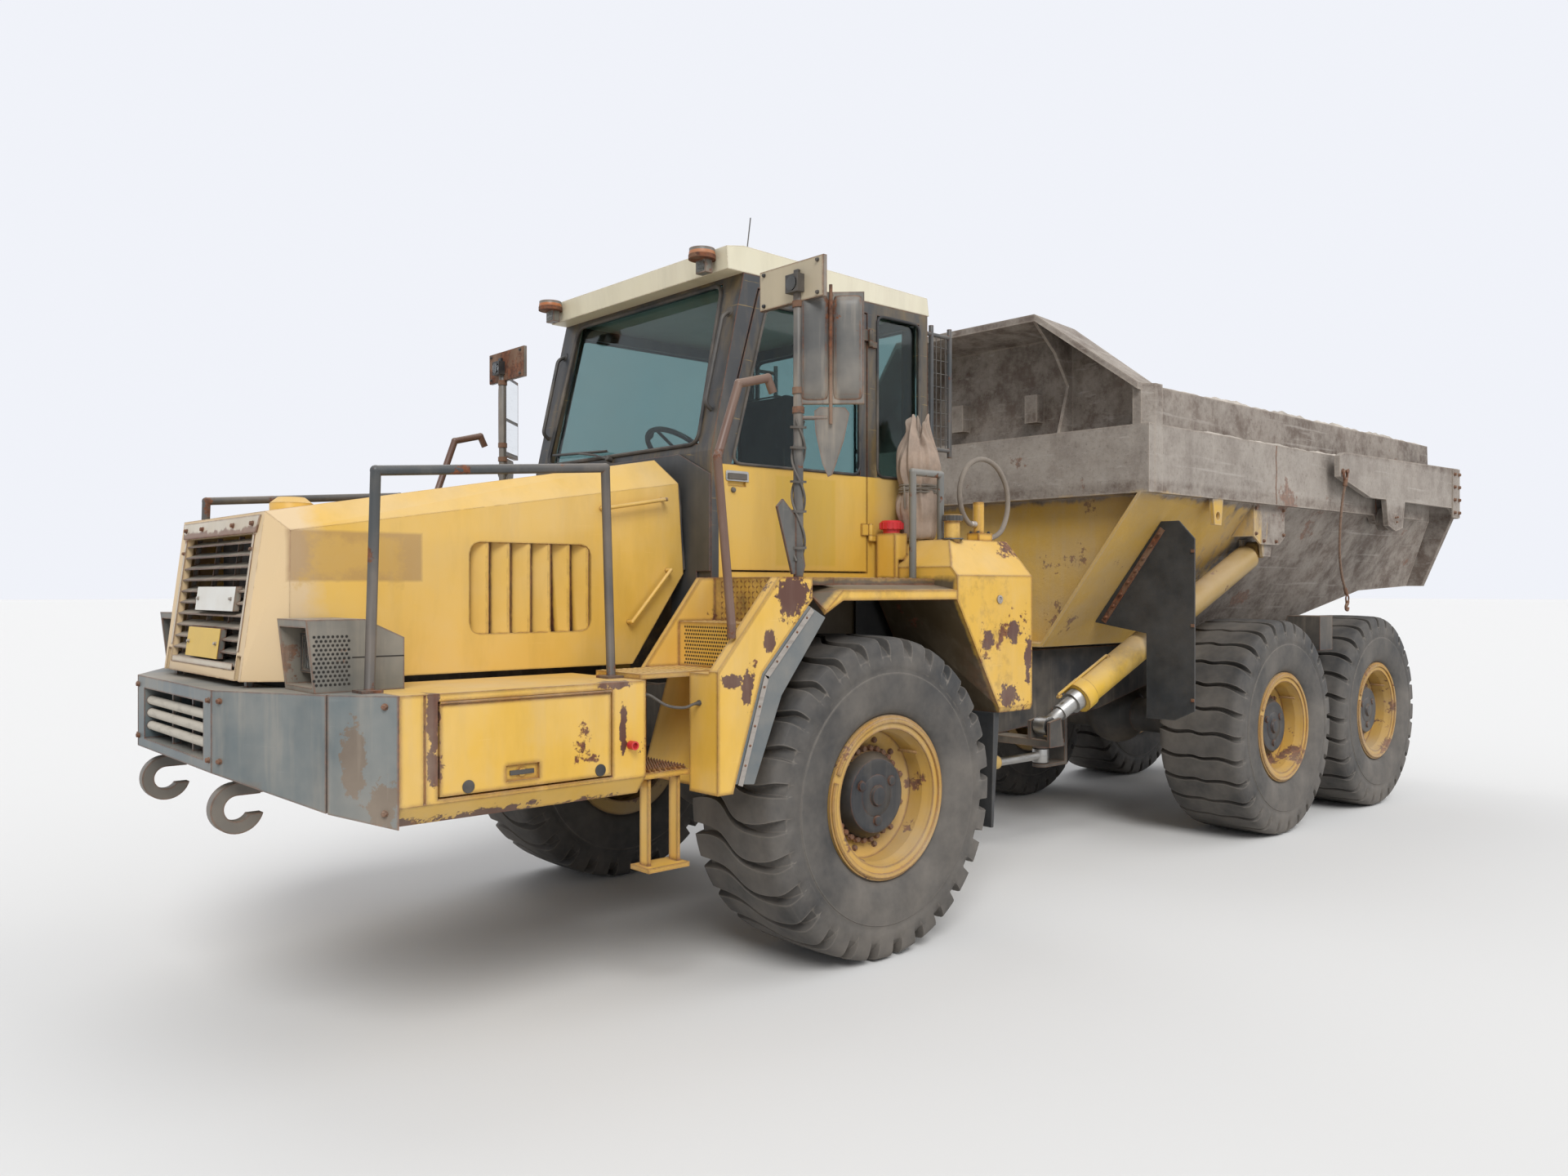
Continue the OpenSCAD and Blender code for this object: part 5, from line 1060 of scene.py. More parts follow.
def lozenge(place, long_way, wide_way, rise):
    """A low pressed rib: half its length, half its width and its height, as vectors."""
    long_way, wide_way = Vector(long_way), Vector(wide_way)
    ring = treads.points(place + long_way * a + wide_way * b for a, b in ((1, 1), (-1, 1), (-1, -1), (1, -1)))
    band(treads.mesh, ring, treads.points([place + Vector(rise)]))


for row in range(8):
    for column in range(15):
        lean = 1 if (row + column) % 2 else -1
        lozenge(spot(0.6365, 0.885 + 0.0275 * column, 1.612 + 0.0242 * row), (0, 0.01, 0.01 * lean),
            (0, 0.003, -0.003 * lean), (0.0025, 0, 0))
for x_low, x_high, y_low, y_high, z in ((0.64, 0.83, 0.85, 1.27, 1.6003), (0.86, 1.27, 0.85, 1.14, 1.4003),
        (-0.4, 0.6, 0.86, 1.18, 1.8003)):
    for column in range(math.ceil((x_high - x_low - 0.015) / 0.028)):
        odd = column % 2
        y = y_low + 0.02 * odd
        while y < y_high:
            lozenge(spot(x_low + 0.015 + 0.028 * column, y, z), (0, 0.014, 0) if odd else (0.014, 0, 0),
                (0.004, 0, 0) if odd else (0, 0.004, 0), (0, 0, 0.003))
            y += 0.04
treads.both_sides().done("tread_lozenges", guard_paint, slot="yellow_paint")

teeth = Work()
for k in range(10):
    x = 1.053 + 0.026 * k
    for y in (0.86 + 0.021 * j for j in range(14)):
        teeth.plate(spots((x, y, 1.0016), (x, y + 0.014, 1.0016), (x, y + 0.007, 1.01)), (0.004, 0, 0))
teeth.both_sides().done("step_teeth", rusty_iron)

ARCH_SIDE = 1.3503
battens, rivets = Work(), Work()
arch = [Vector((0.5135, 1.668)), Vector((0.785, 1.383)), Vector((0.933, 0.93))]
for a, b in zip(arch, arch[1:]):
    run = (b - a).normalized()
    aside = Vector((run.y, -run.x)) * 0.013
    corners = (a + aside * 2.2, b + aside * 2.2, b + aside * 0.2, a + aside * 0.2)
    battens.plate([spot(p.x, ARCH_SIDE, p.y) for p in corners], (0, 0.003, 0))
    for k in range(int((b - a).length / 0.085)):
        place = a + run * (0.05 + 0.085 * k) + aside * 1.2
        rivets.lathe([(0, 0), (0, 0.006), (0.003, 0.004), (0.004, 0)],
            (place.x, ARCH_SIDE + 0.003, place.y), OUTWARD, 10)
battens.both_sides().done("arch_battens", bare_steel)
rivets.both_sides().done("arch_rivets", rusty_iron)
plug = Work().lathe([(0, 0), (0, 0.022), (0.007, 0.022), (0.008, 0.014), (0.003, 0.012), (0.003, 0)],
    (-0.839, ARCH_SIDE, 1.693), OUTWARD, 20)
plug.both_sides().done("box_plugs", bare_steel)
curtain = Work()
curtain.block((-1.1, 0.735, 1.15), (-0.4, 0.742, 1.785))
curtain.block((-1.1, 0.742, 1.779), (-0.515, 0.8055, 1.785))
curtain.both_sides().done("arch_curtains", sheet_rubber, slot="rubber_sheet")
print("treads, teeth and battens in place")

# %% [markdown]
# ## The cab from outside
# Every window sits in a black rubber seal. The wiper is parked low across the windscreen, and
# a bent grab handle follows each front corner. On the roof stand two amber beacons, rusted
# round the foot, with a small work lamp below each.

# %% Seals, wiper, handles
seal_rubber = moulded("seal rubber", (0.012, 0.012, 0.013), 0.6, 0.3)
SILL, LINTEL, DOOR_LINTEL = 2.347, 3.208, 3.138
CAB_SIDE, CAB_BACK = 0.801, -0.911


def closed(corners, radius):
    """A rounded loop through the corners, closed on itself."""
    start = (corners[0] + corners[-1]) / 2
    return rounded([start] + corners + [start], radius)


def windscreen(y, z, off=0.0):
    return spot(0.633 - 0.231 * (z - 2.4) + off, y, z)


seals = Work()
seals.tube(closed([windscreen(y, z, 0.002) for y, z in ((-0.69, 2.44), (0.69, 2.44), (0.65, 3.24), (-0.65, 3.24))],
    0.07), 0.011, 8)
for corners, radius in (
        (spots((-0.84, CAB_SIDE, SILL), (-0.502, CAB_SIDE, SILL),
               (-0.502, CAB_SIDE, LINTEL), (-0.84, CAB_SIDE, LINTEL)), 0.05),
        (spots((0.54, -CAB_SIDE, SILL), (0.333, -CAB_SIDE, LINTEL),
               (-0.84, -CAB_SIDE, LINTEL), (-0.84, -CAB_SIDE, SILL)), 0.06),
        (quad(-0.648, 0.648, SILL, LINTEL, lambda y, z: spot(CAB_BACK, y, z)), 0.06)):
    seals.tube(closed(corners, radius), 0.008, 8)
seals.done("window_seals", seal_rubber, slot="rubber_sheet")
seals = Work()
seals.tube(closed(spots((0.508, CAB_SIDE, SILL), (0.283, CAB_SIDE, DOOR_LINTEL), (-0.368, CAB_SIDE, DOOR_LINTEL),
    (-0.368, CAB_SIDE, SILL)), 0.06), 0.008, 8)
seals.done("door_seal", seal_rubber, "door_left", slot="rubber_sheet")
seals = Work()
seals.tube(rounded(spots((0.652, 0.612, 1.84), (0.684, 0.612, 2.245), (0.752, 0.515, 2.352),
                         (0.752, -0.515, 2.352), (0.684, -0.612, 2.245), (0.652, -0.612, 1.84)), 0.05), 0.009, 8)
seals.done("hood_seal", seal_rubber, "hood", slot="rubber_sheet")

wiper = Work()
wiper.lathe([(-0.04, 0.014), (0.012, 0.014), (0.016, 0.01), (0.016, 0)], windscreen(-0.04, 2.425, 0.018),
    (1, 0, 0.23), 16)
wiper.tube([windscreen(-0.04, 2.425, 0.026), windscreen(-0.16, 2.455, 0.03),
    windscreen(-0.38, 2.486, 0.012)], 0.006, 8)
wiper.tube([windscreen(-0.1, 2.474, 0.004), windscreen(-0.38, 2.486, 0.006),
    windscreen(-0.64, 2.497, 0.004)], 0.007, 8)
wiper.plate([windscreen(-0.1, 2.472, -0.012), windscreen(-0.64, 2.495, -0.012), windscreen(-0.64, 2.495, 0.002),
    windscreen(-0.1, 2.472, 0.002)], (0, 0.002, -0.004))
wiper.done("wiper", black_plastic)

handles = Work()
handles.tube(rounded(spots((0.47, 0.745, 3.085), (0.52, 0.747, 3.06), (0.622, 0.74, 2.627), (0.578, 0.742, 2.595)),
    0.035), 0.0105, 12)
for x, z in ((0.474, 3.083), (0.581, 2.597)):
    handles.lathe([(0, 0), (0, 0.026), (0.006, 0.024), (0.006, 0)], (x, 0.744, z), (0.97, 0, 0.23), 16)
handles.both_sides().done("corner_handles", black_plastic)

latch = Work()
latch.plate(rounded(spots((0.404, 0.8003, 2.262), (0.546, 0.8003, 2.262), (0.546, 0.8003, 2.312),
    (0.404, 0.8003, 2.312), (0.404, 0.8003, 2.263)), 0.012)[:-1], (0, 0.004, 0))
latch.done("door_latch_surround", chrome, "door_left", bevel=0.001)
latch = Work()
latch.block((0.418, 0.8043, 2.27), (0.532, 0.81, 2.3))
latch.lathe([(0, 0.014), (0.01, 0.012), (0.013, 0)], (0.5, 0.8002, 2.22), OUTWARD, 16)
latch.done("door_latch", black_plastic, "door_left", bevel=0.002)

beacon = spot(0.603, 0.693, 3.346)
amber = Work().lathe([(-0.004, 0.0635), (0.004, 0.064), (0.02, 0.06), (0.029, 0.046), (0.0315, 0.0)], beacon, UP, 32)
amber.both_sides().done("beacon_lenses", amber_plastic)
foot = Work().lathe([(-0.0255, 0), (-0.0255, 0.066), (-0.006, 0.066), (-0.0042, 0.0636)], beacon, UP, 32)
for dx, dy in ((-0.03, 0.012), (-0.045, -0.012)):
    foot.bolt(beacon + Vector((dx, dy, -0.013)), UP, 0.012)
foot.both_sides().done("beacon_feet", rusty_iron)
lens = Work()
lens.block((0.6092, 0.66, 3.266), (0.6125, 0.718, 3.314))
for z in (3.279, 3.301):
    for k in range(3):
        lens.lathe([(0, 0.0065), (0.003, 0.005), (0.003, 0)], (0.6127, 0.671 + 0.018 * k, z), AHEAD, 10)
lens.both_sides().done("roof_work_lamps", lamp_glass, bevel=0.001)

wires = Work()
rods = [((-0.988, 0.75, 2.6 + 0.075 * k), (-1.172, 0.75, 2.6 + 0.075 * k)) for k in range(8)]
rods += [((x, 0.7535, 2.545), (x, 0.7535, 3.185)) for x in (-1.04, -1.08, -1.12)]
antenna = (0.3, 0.66, 3.385), (0.27, 0.66, 3.6)
for start, end in rods + [antenna]:
    wires.rod(start, end, 0.003, 6)
wires.lathe([(0, 0.014), (0.02, 0.01), (0.024, 0)], (0.3, 0.66, 3.397), UP, 12)
wires.done("guard_wires_and_antenna", black_plastic)
print("cab: seals, wiper, handles, beacons")

# %% [markdown]
# ## Mirrors
# Each mirror is two weathered covers on a rusty rod, standing out at an angle from its post.
# Their glass faces the driver. A beige plate on top carries a black work lamp; the plate on
# the right has rusted brown.

# %% Mirror panels, glass and lamps
mirror_glass = plain_metal("mirror glass", (0.84, 0.86, 0.86), 0.04, 0.1)
beige_paint = painted("beige plate", (0.5, 0.43, 0.29), (0.4, 0.34, 0.24), patch_size=6.0, chipped=0.7, dusty=0.4)
POST_X, POST_Y = 0.56, 1.322


def by_mirror(along, out, z):
    """A place by the left mirror: along its panel, out from its middle plane, and height."""
    diagonal = math.sqrt(0.5)
    return spot(POST_X + diagonal * (-along - out), POST_Y + diagonal * (along - out), z)


def pillow(form, low, high, bottom, top, swell):
    """A pressed cover on the mirror's outer face, domed and with rounded corners."""
    across, tall, rows = 10, 20, []
    for v in (2 * j / tall - 1 for j in range(tall + 1)):
        row = []
        for u in (2 * i / across - 1 for i in range(across + 1)):
            along = (low + high) / 2 + u * (1 - 0.1 * u ** 4 * v ** 12) * (high - low) / 2
            dome = swell * math.sqrt(max(0.0, (1 - u ** 4) * (1 - v ** 8)))
            row.append(by_mirror(along, -0.0145 - dome,
                (bottom + top) / 2 + v * (1 - 0.035 * u ** 4 * v ** 4) * (top - bottom) / 2))
        rows.append(form.points(row))
    for a, b in zip(rows, rows[1:]):
        for i in range(across):
            form.mesh.faces.new((a[i], a[i + 1], b[i + 1], b[i]))
    edge = rows[0] + [row[-1] for row in rows[1:]] + rows[-1][-2::-1] + [row[0] for row in rows[-2:0:-1]]
    form.mesh.faces.new(edge[::-1])


backs, glass, rods = Work(), Work(), Work()
pillow(backs, 0.01, 0.134, 2.575, 3.035, 0.024)
pillow(backs, 0.152, 0.284, 2.575, 3.035, 0.024)
for low, high in ((2.585, 2.77), (2.79, 3.03)):
    glass.plate(quad(0.02, 0.27, low, high, lambda along, z: by_mirror(along, 0.0145, z)),
        by_mirror(0, 0.003, 0) - by_mirror(0, 0, 0))
rods.rod(by_mirror(0.143, -0.0225, 2.47), by_mirror(0.143, -0.0225, 3.08), 0.008, 12)
for z in (2.535, 2.62, 3.0):
    rods.lathe([(-0.014, 0.0225), (-0.014, 0.027), (0.014, 0.027), (0.014, 0.0225)], (POST_X, POST_Y, z), UP, 24)
backs.both_sides().done("mirror_panels", mirror_paint, sharp=60)
glass.both_sides().done("mirror_glasses", mirror_glass, bevel=0.001)
rods.both_sides().done("mirror_rods", rusty_iron)
for (side, sign), finish in zip(SIDES, (beige_paint, rusty_iron)):
    plate = Work().plate(quad(sign * 1.069, sign * 1.48, 3.012, 3.188, lambda y, z: spot(0.5602, y, z)),
        (0.004, 0, 0))
    plate.done("mirror_top_plate_" + side, finish, bevel=0.001)
lamp = Work()
lamp.block((0.5645, 1.286, 3.046), (0.606, 1.366, 3.126))
lamp.block((0.5645, 1.312, 3.126), (0.58, 1.34, 3.15))
for y, z in ((1.1, 3.03), (1.1, 3.17), (1.45, 3.03), (1.45, 3.17)):
    lamp.bolt((0.5643, y, z), AHEAD, 0.014)
lens = Work().lathe([(0, 0), (0, 0.034), (0.004, 0.032), (0.007, 0.018), (0.008, 0)],
    (0.6062, 1.326, 3.086), AHEAD, 24)
lamp.both_sides().done("mirror_work_lamps", black_plastic, bevel=0.004)
lens.both_sides().done("mirror_lamp_lenses", lamp_glass)
wires, steps = Work(), 60
for start, last in ((0.4, 1.835), (2.9, 1.87)):
    wires.tube([
        spot(POST_X + 0.0285 * math.cos(start + 0.17 * k), POST_Y + 0.0285 * math.sin(start + 0.17 * k),
            2.49 + (last - 2.49) * k / steps)
        for k in range(steps + 1)], 0.0055, 8)
for z in (1.93, 2.09, 2.22, 2.37, 2.46):
    wires.lathe([(-0.005, 0.022), (-0.005, 0.0365), (0.005, 0.0365), (0.005, 0.022)], (POST_X, POST_Y, z),
        (0.05, 0.1, 1), 16)
wires.both_sides().done("post_wires", hose_rubber, slot="rubber_sheet")
print("mirrors: two covers and two glasses a side")

# %% [markdown]
# ## Inside the cab
# Behind the glass: a suspension seat, the dashboard with its dials, the steering wheel, a
# console with a lever, pedals and a floor mat. The seat's cushions are stuffed cloth. Each
# starts a little too small, is remeshed, and a short cloth simulation with air pressure inside
# swells it; no point may move further than the cap.

# %% Seat cushions
cloth_grey = rubber_finish("seat cloth", (0.03, 0.032, 0.036), 0.25, 0.9)
CLOTH_FRAMES = 20
CLOTH_BEVEL, VOXEL = 0.022, 0.01


def evaluated(thing):
    bpy.context.view_layer.update()
    return bpy.data.meshes.new_from_object(thing.evaluated_get(bpy.context.evaluated_depsgraph_get()))


def cushion_block(low, high, pinch):
    """A block of cloth whose sides are pulled in at their middles by pinch metres."""
    form = bmesh.new()
    bmesh.ops.create_cube(form, size=1.0)
    middle, size = (low + high) / 2, high - low
    for v in form.verts:
        v.co = v.co * size + middle
    bmesh.ops.subdivide_edges(form, edges=form.edges[:], cuts=3, use_grid_fill=True)
    for v in form.verts:
        off = v.co - middle
        for axis in (0, 1, 2):
            if abs(abs(off[axis]) - size[axis] / 2) < 1e-6:
                mid = 1 - max(abs(2 * off[a] / size[a]) for a in (0, 1, 2) if a != axis)
                v.co[axis] -= math.copysign(pinch * mid * (0.4 if size[axis] < 0.2 else 1.0), off[axis])
    return form


def swell(thing, cap):
    """Blows the cushion up with a cloth simulation; no point moves further than cap."""
    cloth = thing.modifiers.new("air", "CLOTH")
    cloth.settings.use_pressure = True
    cloth.settings.uniform_pressure_force = 4.0
    cloth.settings.effector_weights.gravity = 0.0
    cloth.settings.quality = 4
    cloth.point_cache.frame_start, cloth.point_cache.frame_end = 1, CLOTH_FRAMES
    for frame_number in range(1, CLOTH_FRAMES + 1):
        scene.frame_set(frame_number)
    swollen = evaluated(thing)
    for v, home in zip(swollen.vertices, [v.co.copy() for v in thing.data.vertices]):
        moved = v.co - home
        if moved.length > cap:
            v.co = home + moved * (cap / moved.length)
    thing.modifiers.clear()
    thing.data = swollen
    scene.frame_set(1)


def stuffed(name, low, high, cap, pinch=0.012):
    """A cushion between two corners."""
    form = cushion_block(low, high, pinch)
    data = bpy.data.meshes.new(name)
    form.to_mesh(data)
    form.free()
    thing = stand(name, data)
    rounding = thing.modifiers.new("soften", "BEVEL")
    rounding.width, rounding.segments = CLOTH_BEVEL, 3
    rounding.limit_method, rounding.angle_limit = "ANGLE", math.radians(60)
    mesher = thing.modifiers.new("remesh", "REMESH")
    mesher.mode, mesher.voxel_size = "VOXEL", VOXEL
    grid = evaluated(thing)
    thing.modifiers.clear()
    thing.data = grid
    swell(thing, cap)
    thing.data.shade_smooth()
    thing.data.materials.clear()
    thing.data.materials.append(cloth_grey)
    round_off = thing.modifiers.new("round", "SUBSURF")
    round_off.levels = round_off.render_levels = 1
    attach(thing, "front_unit")
    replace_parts(thing, "cab_interior")
    return thing


cushion = stuffed("seat_cushion", spot(-0.395, -0.235, 2.125), spot(0.045, 0.235, 2.235), 0.016)
backrest = stuffed("seat_back", spot(-0.465, -0.215, 2.275), spot(-0.375, 0.215, 2.862), 0.014)
piping = Work()
piping.tube(closed(spots((0.046, -0.215, 2.236), (0.046, 0.215, 2.236), (-0.385, 0.215, 2.24),
    (-0.385, -0.215, 2.24)), 0.05), 0.005, 8)
piping.tube(closed(spots((-0.372, -0.2, 2.3), (-0.372, 0.2, 2.3), (-0.372, 0.195, 2.845), (-0.372, -0.195, 2.845)),
    0.06), 0.005, 8)
piping.done("seat_piping", seal_rubber)
print("cushions:", len(cushion.data.vertices), "and", len(backrest.data.vertices), "points")

# %% Seat base, dashboard, wheel
CAB_FLOOR = 1.8325
base = Work()
base.block((-0.33, -0.2, 2.095), (0.0, 0.2, 2.118))
base.block((-0.34, -0.21, CAB_FLOOR), (0.01, 0.21, 1.862))
for k in range(5):
    base.lathe([(0, 0.0), (0, 0.1), (0.016, 0.135), (0.03, 0.135), (0.044, 0.1), (0.044, 0)],
        (-0.165, 0, 1.866 + 0.046 * k), UP, 24)
for y in (-0.16, 0.16):
    base.rod((-0.385, y, 2.15), (-0.475, y, 2.62), 0.012, 10)
base.done("seat_base", black_plastic, bevel=0.003, slot="cab_trim")
dash = Work()
dash.plate([spot(x, -0.49, z) for x, z in ((0.395, CAB_FLOOR), (0.548, CAB_FLOOR), (0.548, 2.352), (0.512, 2.374),
    (0.452, 2.372), (0.386, 2.285), (0.392, 2.19), (0.44, 2.12))], (0, 0.98, 0))
dash.block((-0.36, -0.52, CAB_FLOOR), (0.1, -0.33, 2.19))
dash.block((-0.3, -0.5, 2.19), (0.06, -0.35, 2.225))
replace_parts(dash.done("dashboard", black_plastic, bevel=0.012, slot="cab_trim"), "cab_interior")
dials = Work()
for y in (-0.13, 0.0, 0.13):
    dials.lathe([(0, 0.042), (0.006, 0.042), (0.006, 0.036), (0.003, 0.034), (0.003, 0)], (0.418, y, 2.332),
        (-0.79, 0, 0.61), 24)
for k in range(8):
    dials.block((0.385, 0.2 + 0.03 * k, 2.225), (0.394, 0.222 + 0.03 * k, 2.255))
dials.done("dials_and_switches", mirror_glass)
wheel = Work()
hub, tilt = spot(0.21, 0, 2.48), Vector((-0.602, 0, 0.799))


def on_wheel(radius, angle):
    """A place on the steering wheel's own plane."""
    return hub + Vector(OUTWARD) * radius * math.cos(angle) + Vector((0.799, 0, 0.602)) * radius * math.sin(angle)


wheel.tube([on_wheel(0.2, turn(k, 40)) for k in range(41)], 0.0145, 10)
for degrees in (90, 205, 335):
    wheel.rod(hub + tilt * 0.004, on_wheel(0.192, math.radians(degrees)), 0.009, 8)
wheel.lathe([(-0.03, 0.03), (0.004, 0.05), (0.016, 0.044), (0.02, 0)], hub, tilt, 24)
wheel.rod((0.39, 0, 2.245), hub - tilt * 0.02, 0.024, 16)
wheel.lathe([(0, 0.014), (0.03, 0.018), (0.05, 0.012), (0.054, 0)],
    on_wheel(0.14 * math.sqrt(2), math.radians(135)), tilt, 12)
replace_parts(wheel.done("steering_wheel", black_plastic, slot="cab_trim"), "cab_interior")
small = Work()
small.tube(flowing(spots((-0.02, -0.43, 2.222), (0.0, -0.43, 2.3), (0.02, -0.425, 2.36))), 0.008, 8)
small.lathe([(-0.02, 0.012), (0.0, 0.022), (0.03, 0.02), (0.045, 0.008), (0.047, 0)], (0.022, -0.425, 2.37),
    (0.2, 0, 1), 16)
small.tube(spots((-0.16, -0.4, 2.222), (-0.17, -0.4, 2.3)), 0.007, 8)
for y in (-0.13, 0.02, 0.15):
    small.plate(spots((0.3, y, 1.865), (0.3, y + 0.07, 1.865), (0.352, y + 0.07, 1.935), (0.352, y, 1.935)),
        (0.006, 0, -0.004))
    small.rod((0.328, y + 0.035, 1.905), (0.396, y + 0.035, 1.93), 0.007, 8)
small.block((-0.55, -0.62, CAB_FLOOR), (0.36, 0.62, 1.838))
small.done("levers_pedals_mat", black_plastic)
print("cab inside: seat, dashboard, wheel, levers")

# %% [markdown]
# ## Behind the cab
# A red cap closes the small tank, and a filler neck stands on the box behind it. A hose
# makes a loop between a valve block and its post. Against them leans a sack of rags, tied
# round the middle: a shell lofted through uneven rings, so that it sags and creases.

# %% Caps, hose and sack
def ribs(form, x, y, radius, low, high, count, thick):
    """Upright grip ribs round a cap."""
    for k in range(count):
        across, along = radius * math.cos(turn(k, count)), radius * math.sin(turn(k, count))
        form.rod((x + across, y + along, low), (x + across, y + along, high), thick, 6)


caps = Work()
caps.lathe([(0.0003, 0), (0.0003, 0.045), (0.02, 0.045), (0.02, 0.056), (0.022, 0.06), (0.058, 0.06), (0.068, 0.05),
    (0.07, 0)], (-0.512, 0.893, 2.04), UP, 28)
ribs(caps, -0.512, 0.893, 0.06, 2.064, 2.096, 14, 0.005)
caps.both_sides().done("red_caps", red_plastic)
neck = Work()
neck.lathe([(2.102, 0.0385), (2.102, 0.0515), (2.13, 0.0515), (2.1355, 0.044), (2.1355, 0)],
    (-0.69, 1.162, 0), UP, 32)
ribs(neck, -0.69, 1.162, 0.051, 2.105, 2.129, 16, 0.0035)
neck.lathe([(2.0055, 0.04), (2.0055, 0.058), (2.012, 0.056), (2.012, 0.0385)], (-0.69, 1.162, 0), UP, 32)
for x, y in ((-1.065, 1.055), (-1.065, 1.105), (-0.975, 1.055), (-0.975, 1.105)):
    neck.bolt((x, y, 2.05), UP, 0.014)
neck.both_sides().done("filler_caps", black_plastic)

old_hose = rubber_finish("old hose", (0.12, 0.1, 0.08), 0.5, 0.8)
HOSE_Y = 1.08
hose_path = flowing([spot(x, HOSE_Y, z) for x, z in (
    (-1.08, 2.028), (-1.125, 2.028), (-1.215, 2.075), (-1.268, 2.19), (-1.255, 2.32), (-1.165, 2.425),
    (-1.035, 2.458), (-0.915, 2.41), (-0.852, 2.3), (-0.862, 2.18), (-0.925, 2.105), (-0.979, 2.098))], 6)
for side, sign in SIDES:
    path = [Vector((p.x, sign * p.y, p.z)) for p in hose_path]
    hose = Work().tube(path, 0.014, 12).done("filler_hose_" + side, old_hose, slot="rubber_sheet")
    ends = Work()
    for place, axis in ends_of(path):
        ends.lathe([(0, 0.0), (0, 0.019), (0.01, 0.019), (0.012, 0.0165), (0.034, 0.0165), (0.036, 0.0145)],
            place, axis, 16)
    ends = ends.done("filler_hose_ends_" + side, bare_steel)

canvas = rubber_finish("sack canvas", (0.225, 0.165, 0.125), 0.5, 0.92)
SACK_X, SACK_Y, SACK_SQUEEZE, SACK_AROUND = -0.69, 0.925, 0.8, 96
# Height over the box, radius, and how deep the creases are there
SACK_RINGS = (
    (0.002, 0.075, 0.02), (0.004, 0.098, 0.02), (0.03, 0.11, 0.04), (0.07, 0.112, 0.05), (0.1, 0.113, 0.06),
    (0.125, 0.126, 0.09), (0.16, 0.133, 0.11), (0.195, 0.132, 0.13), (0.225, 0.122, 0.16), (0.25, 0.108, 0.17),
    (0.272, 0.1, 0.16), (0.295, 0.106, 0.18), (0.325, 0.122, 0.19), (0.365, 0.132, 0.17), (0.405, 0.134, 0.17),
    (0.445, 0.128, 0.2), (0.48, 0.116, 0.25), (0.51, 0.098, 0.32), (0.54, 0.078, 0.42), (0.57, 0.062, 0.5),
    (0.6, 0.058, 0.55), (0.622, 0.062, 0.55), (0.6, 0.046, 0.5), (0.565, 0.03, 0.3))


def sack_point(angle, height, radius, folds):
    """A place on the sack: creases and dents push the ring in and out."""
    crease = 0.45 * math.sin(13 * angle + 6 * height) + 0.35 * math.sin(19 * angle + 1.7)
    crease += 0.6 - abs(math.sin(4.5 * angle + 9 * height))
    dent = noise.noise(Vector((1.6 * math.cos(angle), 1.6 * math.sin(angle), 7 * height + 3)))
    out = radius * (1 + folds * (0.55 * crease + 0.5 * dent))
    return spot(SACK_X, SACK_Y, 2.008) + Vector((out * math.cos(angle), out * SACK_SQUEEZE * math.sin(angle),
        height + 0.1 * folds * (math.sin(5 * angle) + dent)))


sack = Work()
skin(sack.mesh, [sack.points(sack_point(turn(k, SACK_AROUND), *ring) for k in range(SACK_AROUND))
    for ring in SACK_RINGS])
sack.done("rag_sack", canvas, sharp=80, smooth=1)
sack_cord = rubber_finish("sack cord", (0.12, 0.105, 0.085), 0.4, 0.9)
tie = Work()
for lap in range(4):
    lean = 0.012 * math.sin(lap * 2.1)
    tie.tube([
        spot(SACK_X + 0.113 * math.cos(a), SACK_Y + 0.09 * math.sin(a), 2.262 + 0.012 * lap + lean * math.cos(a))
        for a in (turn(k, 32) for k in range(33))], 0.006, 6)
tie.tube(flowing(spots((-0.572, 0.93, 2.29), (-0.556, 0.945, 2.27), (-0.552, 0.95, 2.22),
    (-0.56, 0.945, 2.17))), 0.005, 6)
tie.done("sack_tie", sack_cord)
print("behind the cab: caps, hose of", round(length_of(hose_path), 2), "m, sack")

# %% [markdown]
# ## The hopper's rough edges
# Dry mud lies along the top edges of the sides and on the rails below them: low ragged
# ribbons whose height wanders. Steel strips clamp the rubber flaps, and the gate's end
# plates are bolted on.

# %% Dry mud, clamps and bolts
dry_mud = rubber_finish("dry mud", (0.34, 0.305, 0.265), 0.4, 0.95)
MUD_STEP = 0.022


def wander(x, seed):
    """A ragged wave between 0 and 1 that never repeats over the truck's length."""
    wave = math.sin(7.3 * x + seed) + 0.7 * math.sin(19.1 * x + 2.3 * seed) + 0.5 * math.sin(43.7 * x + 0.7 * seed)
    return min(max(0.5 + 0.24 * wave, 0.0), 1.0)


def mud_ribbon(form, start, end, wide, high, seed):
    """A low crust along a level edge from start to end; wide is its width vector."""
    run = end - start
    count = int(run.length / MUD_STEP)
    rows = []
    for k in range(count + 1):
        place = start + run * (k / count)
        x = place.x + place.y
        tall = high * wander(x, seed) * min(1.0, 6 * k / count, 6 * (count - k) / count) + 0.0006
        low, top = 0.06 * wander(x, seed + 4), 1.0 - 0.1 * wander(x, seed + 9)
        rows.append(form.points(place + wide * share + Vector((0, 0, up)) for share, up in (
            (low, -0.0005), (low + 0.12, tall * 0.75), (0.5, tall * (0.8 + 0.4 * wander(3 * x, seed))),
            (top - 0.12, tall * 0.7), (top, -0.0005))))
    skin(form.mesh, rows)


